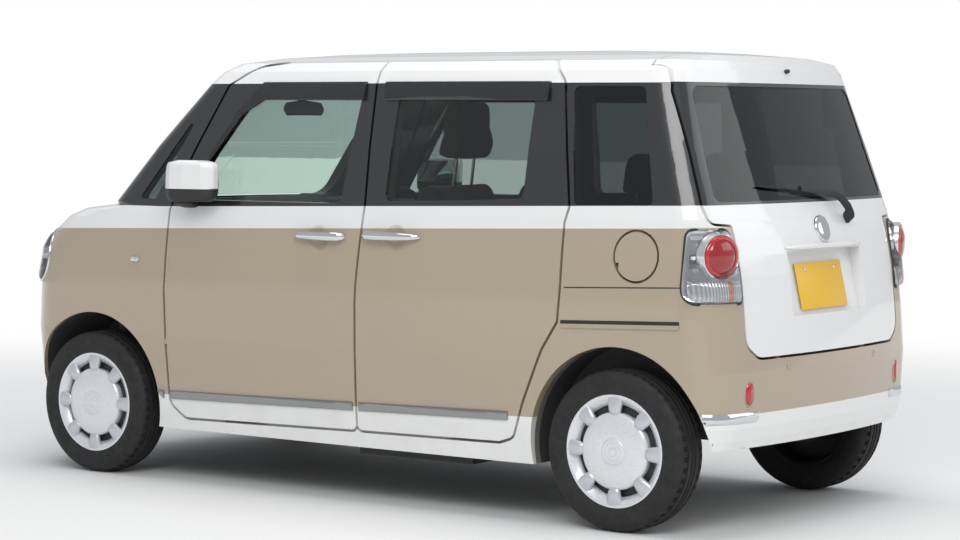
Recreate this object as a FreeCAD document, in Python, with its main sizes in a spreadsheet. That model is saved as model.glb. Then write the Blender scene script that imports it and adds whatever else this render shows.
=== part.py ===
import FreeCAD, Part
import math
import os
import Sketcher
from FreeCAD import Placement, Rotation, Vector

# A tall two-box kei car with sliding rear doors, in millimetres.
# X points forward, Y to the left, Z up. The origin is on the ground, under the middle of the body.

# Driving dimensions: name, value, meaning.
SIZES = [
    ("body_length", 3395, "overall length"),
    ("body_width", 1475, "overall width without mirrors"),
    ("body_height", 1655, "height of the roof above the ground"),
    ("wheelbase", 2455, "front axle to rear axle"),
    ("front_overhang", 485, "nose to front axle"),
    ("wheel_track", 1305, "between the middles of a pair of wheels"),
    ("tyre_width", 155, "section width of the tyre"),
    ("tyre_diameter", 557, "outer diameter of the tyre"),
    ("rim_diameter", 356, "bead seat diameter"),
    ("rim_width", 127, "between the rim flanges"),
    ("cover_diameter", 390, "outer edge of the rim flange"),
    ("hub_bore", 40, "bore of the wheel on its spindle"),
    ("hub_play", 0.5, "radial play of the wheel on its spindle"),
    ("arch_radius", 350, "radius of the wheel openings"),
    ("arch_rise", 6.5, "centre of a wheel opening above the axle"),
    ("sill_height", 205, "underside of the sills"),
    ("belt_height", 1090, "bottom of the side windows"),
    ("side_wall", 77, "thickness of the doors below the windows"),
    ("layer_depth", 20, "depth of the outer layer at a door edge"),
    ("jamb_step", 24, "set back of the inner layer at a door edge"),
    ("jamb_gap", 6.5, "gap behind the outer layer of a door edge"),
    ("skin", 14, "thickness of bolted outer panels"),
    ("bumper_wall", 40, "thickness of the rear bumper"),
    ("glass_depth", 3, "glass surface below the body surface"),
    ("glass_wall", 5, "thickness of the glass"),
    ("door_gap", 10, "gap round the side doors"),
    ("panel_gap", 6, "gap round the bonnet"),
    ("lid_gap", 8, "gap round the fuel lid"),
    ("lid_wall", 3, "thickness of the fuel lid"),
    ("handle_recess", 90, "radius of the dished recess behind a door handle"),
    ("recess_depth", 15, "depth of that recess"),
    ("vent_inner", 134, "inner radius of the wheel cover's vents"),
    ("vent_outer", 158, "outer radius of the wheel cover's vents"),
    ("vent_angle", 26, "width of a vent, in degrees"),
    ("lug_radius", 30, "rounding of a lug on the wheel cover"),
    ("tailgate_gap", 9, "gap round the tailgate"),
    ("seam_gap", 1, "gap between fixed panels"),
    ("seat_gap", 0.3, "gap between seated pieces"),
    ("front_door_width", 948, "front door at its waist"),
    ("slide_door_width", 897, "sliding door at its waist"),
    ("door_setback", 386.5, "front axle to the front door's front edge"),
    ("roof_seam", 520, "middle to the roof panel's side seam"),
    ("floor_height", 225, "underside of the main floor"),
    ("floor_wall", 30, "depth of the floor pan"),
    ("load_floor", 540, "underside of the load floor"),
    ("kingpin_half", 535, "middle to the steering axis"),
    ("wheelhouse_wall", 6, "thickness of the wheelhouses"),
    ("headlamp_radius", 105, "headlamp outline"),
    ("headlamp_half", 545, "middle to the headlamp centre"),
    ("headlamp_height", 843, "headlamp centre above the ground"),
    ("fuel_lid_radius", 83, "fuel lid outline"),
    ("fuel_lid_height", 945, "fuel lid centre above the ground"),
    ("fuel_lid_ahead", 77.5, "fuel lid centre behind the rear axle"),
    ("steering_wheel_radius", 180, "rim centre line of the steering wheel"),
    ("driver_side", 350, "middle to the driver's seat centre"),
]

doc = FreeCAD.newDocument("kei_car")
sheet = doc.addObject("Spreadsheet::Sheet", "Sizes")
for row, (alias, value, meaning) in enumerate(SIZES, start=1):
    sheet.set("A%d" % row, alias)
    sheet.set("B%d" % row, str(value))
    sheet.set("C%d" % row, meaning)
    sheet.setAlias("B%d" % row, alias)
doc.recompute()

size = {alias: float(sheet.get(alias)) for alias, value, meaning in SIZES}
nose_x = size["body_length"] / 2
tail_x = -nose_x
half_width = size["body_width"] / 2
top_z = size["body_height"]
belt_z = size["belt_height"]
sill_z = size["sill_height"]
front_axle_x = nose_x - size["front_overhang"]
rear_axle_x = front_axle_x - size["wheelbase"]
axle_z = size["tyre_diameter"] / 2
arch_z = axle_z + size["arch_rise"]
door_front_x = front_axle_x - size["door_setback"]
middle_x = door_front_x - size["front_door_width"]
slide_rear_x = middle_x - size["slide_door_width"]
cabin_half = half_width - size["side_wall"]
BEYOND = 900.0
SIDES = (("left", 1), ("right", -1))
node_objects = []


def keep(label, shape):
    """A sub-part given by its shape."""
    piece = doc.addObject("Part::Feature", label)
    piece.Label = label
    piece.Shape = shape
    node_objects.append(piece)
    return piece


def mirrored(shape):
    return shape.mirror(Vector(0, 0, 0), Vector(0, 1, 0))


def block(x0, x1, y0, y1, z0, z1):
    return Part.makeBox(x1 - x0, y1 - y0, z1 - z0, Vector(x0, y0, z0))


# Outlines: corners as (u, v) or (u, v, radius), closed.
def outline_edges(corners, to_space):
    count = len(corners)
    tangents = []
    for index in range(count):
        here = corners[index]
        before = corners[index - 1]
        after = corners[(index + 1) % count]
        radius = here[2] if len(here) > 2 else 0.0
        if radius == 0.0:
            tangents.append((here[:2], None, here[:2]))
            continue
        a = (before[0] - here[0], before[1] - here[1])
        b = (after[0] - here[0], after[1] - here[1])
        la, lb = math.hypot(*a), math.hypot(*b)
        a = (a[0] / la, a[1] / la)
        b = (b[0] / lb, b[1] / lb)
        half = math.acos(max(-1.0, min(1.0, a[0] * b[0] + a[1] * b[1]))) / 2
        reach = radius / math.tan(half)
        start = (here[0] + a[0] * reach, here[1] + a[1] * reach)
        end = (here[0] + b[0] * reach, here[1] + b[1] * reach)
        middle = ((a[0] + b[0]) / 2, (a[1] + b[1]) / 2)
        length = math.hypot(*middle)
        out = radius / math.sin(half) - radius
        peak = (here[0] + middle[0] / length * out, here[1] + middle[1] / length * out)
        tangents.append((start, peak, end))
    edges = []
    for index in range(count):
        start, peak, end = tangents[index]
        if peak is not None:
            edges.append(Part.Arc(to_space(*start), to_space(*peak), to_space(*end)).toShape())
        follow = tangents[(index + 1) % count][0]
        if math.hypot(follow[0] - end[0], follow[1] - end[1]) > 1e-6:
            edges.append(Part.makeLine(to_space(*end), to_space(*follow)))
    return edges


def prism(corners, plane, start, end, grow=0.0):
    """A prism whose outline lies in the side (XZ), end (YZ) or plan (XY) view."""
    to_space = {
        "side": lambda u, v: Vector(u, start, v),
        "end": lambda u, v: Vector(start, u, v),
        "plan": lambda u, v: Vector(u, v, start),
    }[plane]
    along = {"side": Vector(0, 1, 0), "end": Vector(1, 0, 0), "plan": Vector(0, 0, 1)}[plane]
    face = Part.Face(Part.Wire(outline_edges(corners, to_space)))
    if grow:
        face = face.makeOffset2D(grow, 2)
    return face.extrude(along * (end - start))


# Outer shape: plan sections stacked up the body, joined by ruled faces.
WIDEST_Z = 700.0
SHOULDER_Z = 1090.0
EAVES_Z = top_z - 125
EAVES_RADIUS = 110.0
EAVES_LEAN = math.asin(0.215)


def side_half(z):
    """Half width of the body at a height."""
    if z <= WIDEST_Z:
        return half_width - (WIDEST_Z - z) ** 2 / 10400.0
    if z <= SHOULDER_Z:
        return half_width - (z - WIDEST_Z) ** 2 / 6000.0
    rise = min(z, EAVES_Z) - SHOULDER_Z
    half = half_width - 25.3 - 0.13 * rise - rise * rise / 9800.0
    if z <= EAVES_Z:
        return half
    lean = math.asin(min(1.0, (z - EAVES_Z) / EAVES_RADIUS + math.sin(EAVES_LEAN)))
    return half - EAVES_RADIUS * (math.cos(EAVES_LEAN) - math.cos(lean))


def eaves_height(lean_degrees):
    return EAVES_Z + EAVES_RADIUS * (math.sin(math.radians(lean_degrees)) - math.sin(EAVES_LEAN))


def plan_ring(z, x_front, x_rear, half, radii):
    """Left half of a plan section in tangent arcs: crowned ends, bowed side, round corners."""
    front_crown, rear_crown, side_bow, front_corner, rear_corner = radii
    x_middle = (x_front + x_rear) / 2
    front = (x_front - front_crown, 0.0, front_crown)
    side = (x_middle, half - side_bow, side_bow)
    rear = (x_rear + rear_crown, 0.0, rear_crown)

    def corner(first, second, radius, sign):
        reach_1, reach_2 = first[2] - radius, second[2] - radius
        dx, dy = second[0] - first[0], second[1] - first[1]
        span = math.hypot(dx, dy)
        along = (reach_1 ** 2 - reach_2 ** 2 + span ** 2) / (2 * span)
        off = math.sqrt(reach_1 ** 2 - along ** 2)
        foot = (first[0] + along * dx / span, first[1] + along * dy / span)
        choices = [(foot[0] - off * dy / span, foot[1] + off * dx / span),
                   (foot[0] + off * dy / span, foot[1] - off * dx / span)]
        centre = max(choices, key=lambda p: p[0] * sign + p[1])

        def touch(circle):
            ux, uy = centre[0] - circle[0], centre[1] - circle[1]
            length = math.hypot(ux, uy)
            return (circle[0] + circle[2] * ux / length, circle[1] + circle[2] * uy / length)
        start, end = touch(first), touch(second)
        mx = (start[0] + end[0]) / 2 - centre[0]
        my = (start[1] + end[1]) / 2 - centre[1]
        length = math.hypot(mx, my)
        peak = (centre[0] + radius * mx / length, centre[1] + radius * my / length)
        return start, peak, end

    def crown_middle(circle, end, sign):
        y = end[1] / 2
        return (circle[0] + sign * math.sqrt(circle[2] ** 2 - y * y), y)
    f1, f_peak, f2 = corner(front, side, front_corner, 1)
    r1, r_peak, r2 = corner(rear, side, rear_corner, -1)

    def at(point):
        return Vector(point[0], point[1], z)
    nose, tail = Vector(x_front, 0, z), Vector(x_rear, 0, z)
    arcs = [
        (nose, at(crown_middle(front, f1, 1)), at(f1)),
        (at(f1), at(f_peak), at(f2)),
        (at(f2), Vector(x_middle, half, z), at(r2)),
        (at(r2), at(r_peak), at(r1)),
        (at(r1), at(crown_middle(rear, r1, -1)), tail),
    ]
    return Part.Wire([Part.Arc(*arc).toShape() for arc in arcs] + [Part.makeLine(tail, nose)])


# Plan sections up the body: height, half width, set back of the nose, of the tail, front crown
# radius, front corner radius, rear corner radius.
SECTIONS = [
    (sill_z, side_half(sill_z), 57.5, 47.5, 2400, 220, 150),
    (370, side_half(370), 17, 8, 2400, 220, 150),
    (560, side_half(560), 0, 0, 2400, 220, 150),
    (740, side_half(740), 11, 14, 2400, 220, 150),
    (880, side_half(880), 42, 30, 2400, 220, 150),
    (949, side_half(949), 82, 43, 2200, 220, 150),
    (1010, side_half(1010), 150, 57, 1900, 220, 145),
    (1040, side_half(1040), 228, 66, 1700, 220, 140),
    (1051, side_half(1051), 313, 70, 1600, 220, 135),
    (1061, side_half(1061), 398, 74, 1500, 180, 130),
    (1074, side_half(1074), 412, 78, 1500, 75, 125),
    (1300, side_half(1300), 629, 158, 1500, 75, 110),
    (EAVES_Z, side_half(EAVES_Z), 872.5, 235.5, 1500, 75, 110),
    (eaves_height(40), side_half(eaves_height(40)), 930, 245, 1500, 75, 110),
    (eaves_height(70), side_half(eaves_height(70)), 995, 254, 1500, 85, 110),
    (top_z - 24, 445, 1130, 305, 1500, 120, 120),
    (top_z - 9, 300, 1330, 480, 1500, 120, 120),
    (top_z, 140, 1600, 800, 1500, 80, 80),
]
REAR_CROWN = 4000.0
SIDE_BOW = 60000.0


def side_surface(x, z):
    """Distance from the middle to the body's side, away from its corners."""
    return side_half(z) - x * x / (2 * SIDE_BOW)


def envelope(inset):
    """The body's outer shape, drawn in by an inset: plan sections joined by ruled faces."""
    rings = []
    for z, half, front, rear, crown, front_corner, rear_corner in SECTIONS:
        radii = (crown, REAR_CROWN, SIDE_BOW, max(front_corner - inset * 0.6, 30),
                 max(rear_corner - inset * 0.6, 30))
        lowered = z if z < EAVES_Z else z - inset * (z - EAVES_Z) / (top_z - EAVES_Z)
        rings.append(plan_ring(lowered, nose_x - front - inset, tail_x + rear + inset,
                               half - inset, radii))
    return Part.makeLoft(rings, True, True)


# Cabin: side view and end view of the hollow.
CABIN_SIDE = [(985, 90), (985, 1030), (1100, 1082), (665, 1530), (620, 1572), (350, 1605),
              (-1385, 1605), (-1400, 1530), (-1500, 1240), (-1550, 1090), (-1590, 900), (-1590, 90)]
CABIN_END = [(cabin_half, 90), (cabin_half, 1060), (600, 1530), (548, 1574), (300, 1604),
             (-300, 1604), (-548, 1574), (-600, 1530), (-cabin_half, 1060), (-cabin_half, 90)]
BAY_SIDE = [(1000, 90), (1000, 1000), (1150, 1000), (1150, 1110), (1800, 1110), (1800, 90)]

outer = envelope(0)
layer = envelope(size["layer_depth"])
jamb_face = envelope(size["layer_depth"] + size["jamb_gap"])
skin_inner = envelope(size["skin"])
bumper_inner = envelope(size["bumper_wall"])
glass_outer = envelope(size["glass_depth"])
glass_inner = envelope(size["glass_depth"] + size["glass_wall"])
cabin = prism(CABIN_SIDE, "side", 0, BEYOND).common(prism(CABIN_END, "end", -1800, 1800))
cabin = cabin.common(bumper_inner)
bay_region = prism(BAY_SIDE, "side", 0, BEYOND)
bay = skin_inner.common(bay_region)
arches = []
for axle_x in (front_axle_x, rear_axle_x):
    inner_y = size["kingpin_half"] - 140 if axle_x > 0 else 535.0
    arches.append(Part.makeCylinder(size["arch_radius"], 500, Vector(axle_x, inner_y, arch_z),
                                    Vector(0, 1, 0)))
shell = outer.cut([cabin, bay] + arches)


def liner_space(axle_x, inner_y, outer_y, radius):
    return Part.makeCylinder(radius, outer_y - inner_y, Vector(axle_x, inner_y, arch_z), Vector(0, 1, 0))


house_wall = size["wheelhouse_wall"]
FRONT_HOUSE_Y = size["kingpin_half"] - 140
REAR_HOUSE_Y = 535.0
liner_holes = [liner_space(front_axle_x, FRONT_HOUSE_Y - house_wall, cabin_half, size["arch_radius"] + house_wall),
               liner_space(rear_axle_x, REAR_HOUSE_Y - house_wall, cabin_half, size["arch_radius"] + house_wall)]


def wheelhouse(axle_x, inner_y, opening_z):
    """Half drum over a wheel, open to the outside and round the suspension."""
    radius = size["arch_radius"]
    drum = liner_space(axle_x, inner_y - house_wall, half_width, radius + house_wall)
    drum = drum.cut(liner_space(axle_x, inner_y, half_width, radius))
    reach = block(axle_x - 500, 1000, 0, cabin_half, sill_z, 800)
    if axle_x > 0:
        reach = reach.fuse(skin_inner.common(block(1000, 1800, 0, BEYOND, sill_z, 800)))
    else:
        reach = reach.cut(block(axle_x - 500, axle_x, 0, cabin_half, sill_z, 320))
    drum = drum.common(reach)
    return drum.cut(block(axle_x - 130, axle_x + 130, inner_y - 20, inner_y + 1, 150, opening_z))


def between(outside, inside, region):
    """The part of a region that lies between two shapes."""
    return outside.common(region).cut(inside.common(region))


def main_solid(shape):
    """The piece itself, without slivers left by its cuts."""
    return max(shape.Solids, key=lambda solid: solid.Volume)


def whole(half):
    """Both halves of a piece that crosses the middle."""
    return half.fuse(mirrored(half)).removeSplitter()


# Door outlines in the side view.
roof_rail_z = top_z - 37
FRONT_DOOR = [
    (door_front_x, belt_z - 350, 300), (door_front_x - 15, belt_z - 40), (door_front_x - 99, belt_z + 158),
    (door_front_x - 248, belt_z + 436), (door_front_x - 371, roof_rail_z - 20, 120),
    (door_front_x - 500, roof_rail_z - 4), (middle_x - 20, roof_rail_z), (middle_x - 28, belt_z + 5, 400),
    (middle_x, belt_z - 310, 900), (middle_x, sill_z + 58, 25), (door_front_x - 100, sill_z + 42, 40),
    (door_front_x - 20, sill_z + 95, 60), (door_front_x - 8, sill_z + 315),
]
SLIDE_DOOR = [
    (middle_x, sill_z + 58, 25), (middle_x, belt_z - 310, 900), (middle_x - 28, belt_z + 5, 400),
    (middle_x - 20, roof_rail_z), (slide_rear_x + 130, roof_rail_z - 1, 60),
    (slide_rear_x + 45, roof_rail_z - 85, 60), (slide_rear_x - 22, belt_z + 16, 40),
    (slide_rear_x - 6, belt_z - 40), (slide_rear_x, belt_z - 255), (slide_rear_x + 9, belt_z - 380, 30),
    (slide_rear_x + 74, belt_z - 480, 60), (slide_rear_x + 155, sill_z + 218, 60),
    (slide_rear_x + 200, sill_z + 86, 40), (slide_rear_x + 260, sill_z + 66),
]
FRONT_WINDOW = [(745, belt_z - 1, 10), (620, belt_z + 176), (435, belt_z + 410, 40),
                (-85, belt_z + 408, 25), (-35, belt_z + 2, 20)]
SLIDE_WINDOW = [(-240, belt_z + 16, 25), (-255, belt_z + 408, 25), (-855, belt_z + 408, 40),
                (-845, belt_z + 36, 30)]
QUARTER_WINDOW = [(-1060, belt_z + 22, 15), (-1010, belt_z + 430, 25), (-1300, belt_z + 430, 25),
                  (-1376, belt_z + 28, 15)]
TRIANGLE_WINDOW = [(980, belt_z - 3, 8), (893, belt_z - 1, 8), (690, belt_z + 366, 8)]

door_wall_y = size["roof_seam"] + 10
half_gap = size["door_gap"] / 2
step = size["jamb_step"]


def door_leaf(corners):
    """A stepped door leaf cut from the wall, and the opening that it leaves."""
    leaf = prism(corners, "side", door_wall_y, BEYOND, -half_gap)
    leaf_inner = prism(corners, "side", door_wall_y, BEYOND, -half_gap - step)
    hole = prism(corners, "side", door_wall_y - half_gap, BEYOND, half_gap)
    hole_inner = prism(corners, "side", door_wall_y - half_gap, BEYOND, -half_gap - step + 9)
    door = between(outer, cabin, leaf).cut(layer.common(leaf.cut(leaf_inner)))
    opening = hole.cut(jamb_face.common(hole.cut(hole_inner)))
    return door, opening


def window(corners):
    return prism(corners, "side", 300, BEYOND)


front_door, front_opening = door_leaf(FRONT_DOOR)
slide_door, slide_opening = door_leaf(SLIDE_DOOR)


def handle_dish(x, z):
    """A shallow round recess for the fingers behind a door handle."""
    radius = size["handle_recess"]
    return Part.makeSphere(radius, Vector(x, side_surface(x, z) + radius - size["recess_depth"], z))


front_door = front_door.cut([window(FRONT_WINDOW), handle_dish(60, 968)])
slide_door = slide_door.cut([window(SLIDE_WINDOW), handle_dish(-300, 980)])

# Tailgate: end view outline of the left half, behind the roof seam.
TAILGATE_FRONT_X = -1300.0
TAILGATE_EDGE = [(0, 606), (474, 606, 60), (540, 650, 60), (540, 1055, 12), (636, 1062, 25), (642, 1115),
                 (604, 1500), (578, 1590), (565, 1760), (0, 1760)]
REAR_WINDOW = [(0, 1130), (595, 1130, 30), (547, 1522, 45), (0, 1522)]
SCREEN = [(0, 1078), (612, 1078, 40), (528, 1508, 50), (0, 1508)]
tail_gap = size["tailgate_gap"]
tailgate_region = prism(TAILGATE_EDGE, "end", -1800, TAILGATE_FRONT_X)
tailgate_hole = prism(TAILGATE_EDGE, "end", -1800, TAILGATE_FRONT_X + tail_gap, tail_gap)
rear_window = prism(REAR_WINDOW, "end", -1800, -1350)
screen_hole = prism(SCREEN, "end", 560, 1500)
plate_recess = prism([(-1650, 735), (-1600, 955), (-1800, 955), (-1800, 735)], "side", 0, 262)
plate_bolt = Part.makeCylinder(3, 60, Vector(-1660, 105, 885), Vector(1, 0, 0))
tailgate = between(outer, cabin, tailgate_region).cut([rear_window, plate_recess, plate_bolt])

# Bonnet: plan outline above the nose.
BONNET_REAR_X = 1169.0
BONNET_EDGE = [(BONNET_REAR_X, 604), (1240, 606), (1420, 598), (1560, 560, 60), (1760, 470),
               (1760, 0), (1296, 0), (1250, 400)]
bonnet_gap = size["panel_gap"]
lamp_centre = Vector(1300, size["headlamp_half"], size["headlamp_height"])
lamp_clearance = Part.makeCylinder(size["headlamp_radius"] + bonnet_gap, 480, lamp_centre, Vector(1, 0, 0))
bonnet = between(outer, skin_inner, prism(BONNET_EDGE, "plan", 906, 1300)).cut(lamp_clearance)
bonnet_hole = prism(BONNET_EDGE, "plan", 900, 1300, bonnet_gap)

# Lamps.
lamp_space = Part.makeCylinder(size["headlamp_radius"], 480, lamp_centre, Vector(1, 0, 0))
lamp_hole = Part.makeCylinder(size["headlamp_radius"] + size["seat_gap"], 480, lamp_centre,
                              Vector(1, 0, 0))
TAIL_LAMP_X = -1497.0
tail_lamp_block = block(TAIL_LAMP_X - 300, TAIL_LAMP_X, 549, BEYOND, 787, 1046)
tail_lamp_hole = block(TAIL_LAMP_X - 300, TAIL_LAMP_X + size["seat_gap"], 549 - size["seat_gap"],
                       BEYOND, 787 - size["seat_gap"], 1046 + size["seat_gap"])
tail_lamp = between(outer, bumper_inner, tail_lamp_block)
headlamp = between(outer, bumper_inner, lamp_space)

# Bumpers.
REAR_BUMPER = [(-1440, 270), (-1440, 566), (-1578, 656), (-1578, 786), (-1800, 786), (-1800, 305), (-1640, 305)]
rear_bumper_region = prism(REAR_BUMPER, "side", 0, BEYOND)
rear_bumper_shell = between(outer, bumper_inner, rear_bumper_region)
rear_bumper = rear_bumper_shell.cut([tailgate_hole, arches[1]])
FRONT_BUMPER = [(1470, 100), (1470, 520), (1560, 736), (1800, 736), (1800, 100)]
GRILLE = [(0, 760), (430, 760, 30), (430, 880, 30), (0, 880)]
INTAKE = [(0, 300), (470, 300, 40), (400, 460, 40), (0, 460)]
front_bumper_region = prism(FRONT_BUMPER, "side", 0, BEYOND).fuse(block(1500, 1800, 0, 548, 700, 900))
front_bumper_grown = prism(FRONT_BUMPER, "side", 0, BEYOND, size["seam_gap"]).fuse(
    block(1500, 1800, 0, 549, 700, 901))
front_bumper = between(outer, skin_inner, front_bumper_region)
front_bumper = front_bumper.cut([arches[0], lamp_hole, prism(GRILLE, "end", 1500, 1800),
                                 prism(INTAKE, "end", 1500, 1800),
                                 Part.makeCylinder(3, 80, Vector(1640, 105, 600), Vector(1, 0, 0))])
grille = between(glass_inner, layer, prism(GRILLE, "end", 1500, 1800))
grille = grille.cut([block(1500, 1800, -10, 400, z, z + 14) for z in (782, 812, 842)])
intake = between(glass_inner, layer, prism(INTAKE, "end", 1500, 1800))
intake = intake.cut([block(1500, 1800, -10, 380, z, z + 18) for z in (330, 370, 410)])

# Stops that the closed bonnet rests on.
bonnet_stop = block(1610, 1618, 290, 310, 895, 906 - size["seat_gap"])
front_bumper = front_bumper.fuse(bonnet_stop)

# Fender: outer skin ahead of the door.
FENDER = [(door_front_x + half_gap, 741), (door_front_x - 10, 1050), (door_front_x + 20, 1130),
          (1800, 1130), (1800, 150), (830, 150), (door_front_x - 20 + half_gap, 300),
          (door_front_x + half_gap - 6, 520)]
fender_region = prism(FENDER, "side", 560, BEYOND)
glasshouse = block(500, 1400, 0, BEYOND, 1060, 1700)
fender = between(outer, skin_inner, fender_region)
fender = fender.cut([arches[0], lamp_hole, front_bumper_grown, bonnet_hole, glasshouse,
                     front_opening, screen_hole])
# Door hinge: a barrel in the gap, its lower half on the body and its upper half on the door.
HINGE_X = door_front_x - 11
HINGE_Y = side_surface(HINGE_X, 700) - 5.5
HINGE_Z = 550.0
HINGE_RADIUS = 3.0
hinge_low = HINGE_Z - 20
body_knuckle = Part.makeCylinder(HINGE_RADIUS, 20 - size["seat_gap"], Vector(HINGE_X, HINGE_Y, hinge_low))
body_knuckle = body_knuckle.fuse(
    block(HINGE_X, HINGE_X + 10, HINGE_Y - 2.5, HINGE_Y + 1, hinge_low, HINGE_Z - size["seat_gap"]))
door_knuckle = Part.makeCylinder(HINGE_RADIUS, 20, Vector(HINGE_X, HINGE_Y, HINGE_Z)).fuse(
    block(HINGE_X - 6, HINGE_X, HINGE_Y - 2.5, HINGE_Y + 1, HINGE_Z, HINGE_Z + 20))
knuckle_room = Part.makeCylinder(HINGE_RADIUS + 2, 22, Vector(HINGE_X, HINGE_Y, hinge_low - 2))
front_door = front_door.cut(knuckle_room).fuse(door_knuckle).removeSplitter()

# Fuel lid.
lid_x = rear_axle_x - size["fuel_lid_ahead"]
lid_z = size["fuel_lid_height"]
lid_radius = size["fuel_lid_radius"]
lid_floor_y = half_width - 62
lid_base = Vector(lid_x, lid_floor_y, lid_z)
lid_hole = Part.makeCylinder(lid_radius + size["lid_gap"], 300, lid_base, Vector(0, 1, 0))
fuel_lid = between(outer, glass_outer, Part.makeCylinder(lid_radius, 300, lid_base, Vector(0, 1, 0)))
# Its hinge: a barrel behind the front edge, between two posts on the floor of the recess.
PIN_RADIUS = 3.5
BARREL_HALF = 15.0
pin_x = lid_x + lid_radius - 5.5
pin_y = side_surface(pin_x, lid_z) - size["lid_wall"] - PIN_RADIUS
barrel = Part.makeCylinder(PIN_RADIUS, 2 * BARREL_HALF, Vector(pin_x, pin_y, lid_z - BARREL_HALF))
web = block(pin_x - 3, pin_x + 2, pin_y, pin_y + PIN_RADIUS + 1.5, lid_z - BARREL_HALF, lid_z + BARREL_HALF)
fuel_lid = fuel_lid.fuse([barrel, web.common(outer)]).removeSplitter()
# Below the hinge the body side swells, so the lid's front edge is set back there to swing past it.
SETBACK = 10.0
fuel_lid = fuel_lid.cut(block(pin_x - SETBACK, pin_x + SETBACK, lid_floor_y, half_width,
                              lid_z - lid_radius, lid_z - BARREL_HALF - 8))
lid_posts = []
for post_z in (lid_z - BARREL_HALF - size["seat_gap"] - 8, lid_z + BARREL_HALF + size["seat_gap"]):
    lid_posts.append(block(pin_x - 3.5, pin_x - 0.5, lid_floor_y - 1, pin_y, post_z, post_z + 8).fuse(
        Part.makeCylinder(PIN_RADIUS - 2, 8, Vector(pin_x, pin_y, post_z))))

# What is left of the shell: body sides, roof, bulkhead with cowl, rear panel.
rest = shell.cut([front_opening, slide_opening, tailgate_hole, screen_hole, bonnet_hole, lamp_hole,
                  window(QUARTER_WINDOW), window(TRIANGLE_WINDOW), tail_lamp_hole])
rest = rest.cut(rear_bumper_region.cut(bumper_inner))
rest = rest.cut(liner_holes + [block(-1800, -1480, 0, BEYOND, 100, 300)])
seam = size["roof_seam"]
bulkhead_block = block(985, 1330, 0, cabin_half, 226, 1074)
roof_block = block(-1800, 1400, 0, seam, 1512, 1800)
rear_block = block(-1800, -1200, 0, seam, 150, 780)
bulkhead = main_solid(rest.common(bulkhead_block).cut(fender))
roof = rest.common(roof_block)
tailgate_stop = block(-1640, -1615, 290, 320, 590, 606 - size["seat_gap"])
rear_panel = main_solid(rest.common(rear_block)).fuse(tailgate_stop)
front_wall = block(1000, 1800, 0, BEYOND, 0, 1040)
body_side = rest.common(block(-1800, 1400, seam, BEYOND, 150, 1800)).cut([bulkhead_block, front_wall])
body_side = body_side.cut(fender_region.cut(skin_inner).cut(glasshouse))

# Seal blocks that the closed front door rests on, on the middle pillar.
seal_face = layer.translated(Vector(0, -size["seat_gap"], 0))
seal_blocks = []
for seal_z in (450, 650):
    reach = block(middle_x + 8, middle_x + 18, 600, BEYOND, seal_z, seal_z + 40)
    seal_blocks.append(seal_face.common(reach).cut(jamb_face))
body_side = main_solid(body_side).fuse(seal_blocks + [body_knuckle]).removeSplitter()
body_side = main_solid(body_side)
keep("body_side_left", main_solid(body_side.cut(lid_hole)).fuse(lid_posts).removeSplitter())
keep("body_side_right", mirrored(body_side))
keep("roof_panel", whole(roof))
keep("bulkhead", whole(bulkhead))
keep("rear_panel", whole(rear_panel))
keep("bonnet", whole(bonnet))
keep("tailgate", whole(main_solid(tailgate)))
keep("front_bumper", whole(front_bumper))
keep("rear_bumper", whole(rear_bumper))
keep("grille", Part.makeCompound([whole(grille), whole(intake)]))
keep("headlamps", Part.makeCompound([headlamp, mirrored(headlamp)]))
keep("tail_lamps", Part.makeCompound([tail_lamp, mirrored(tail_lamp)]))
keep("fuel_lid", fuel_lid)
front_house = wheelhouse(front_axle_x, FRONT_HOUSE_Y, 440)
rear_house = wheelhouse(rear_axle_x, REAR_HOUSE_Y, 400).cut(rear_bumper_shell)
keep("wheelhouses", Part.makeCompound([front_house, mirrored(front_house), rear_house,
                                       mirrored(rear_house)]))


def pane(region):
    return between(glass_outer, glass_inner, region)


quarter = pane(window(QUARTER_WINDOW))
triangle = pane(window(TRIANGLE_WINDOW))
slide_glass = pane(window(SLIDE_WINDOW))
front_glass = pane(window(FRONT_WINDOW))
keep("windscreen", whole(pane(screen_hole)))
keep("tailgate_glass", whole(pane(rear_window)))
keep("quarter_glasses", Part.makeCompound([quarter, triangle, mirrored(quarter), mirrored(triangle)]))
keep("sliding_door_glasses", Part.makeCompound([slide_glass, mirrored(slide_glass)]))
for name, sign in SIDES:
    sided = (lambda shape: shape) if sign > 0 else mirrored
    keep("fender_" + name, sided(fender))
    keep("front_door_" + name, sided(front_door))
    keep("front_door_glass_" + name, sided(front_glass))
    keep("sliding_door_" + name, sided(slide_door))


# Pieces of simple form, as sketched bodies and primitives bound to the sheet.
def sketched(label, role, corners):
    """A body with one closed sketch, each corner held by two expressions."""
    body = doc.addObject("PartDesign::Body", label)
    body.Label = label
    sketch = body.newObject("Sketcher::SketchObject", label + "_outline")
    plane = [f for f in body.Origin.OriginFeatures if f.Role == role][0]
    sketch.AttachmentSupport = [(plane, "")]
    sketch.MapMode = "FlatFace"
    count = len(corners)
    places = []
    for u, v in corners:
        sheet.set("E1", "=" + u)
        sheet.set("F1", "=" + v)
        doc.recompute([sheet])
        places.append((float(sheet.get("E1")), float(sheet.get("F1"))))
    for index in range(count):
        start = places[index]
        end = places[(index + 1) % count]
        sketch.addGeometry(Part.LineSegment(Vector(start[0], start[1], 0), Vector(end[0], end[1], 0)),
                           False)
    for index in range(count):
        sketch.addConstraint(Sketcher.Constraint("Coincident", index, 2, (index + 1) % count, 1))
    for index, (u, v) in enumerate(corners):
        for kind, text, place in (("DistanceX", u, places[index][0]), ("DistanceY", v, places[index][1])):
            number = sketch.addConstraint(Sketcher.Constraint(kind, -1, 1, index, 1, place))
            sketch.setExpression("Constraints[%d]" % number, bound(text))
    return body, sketch


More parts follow.
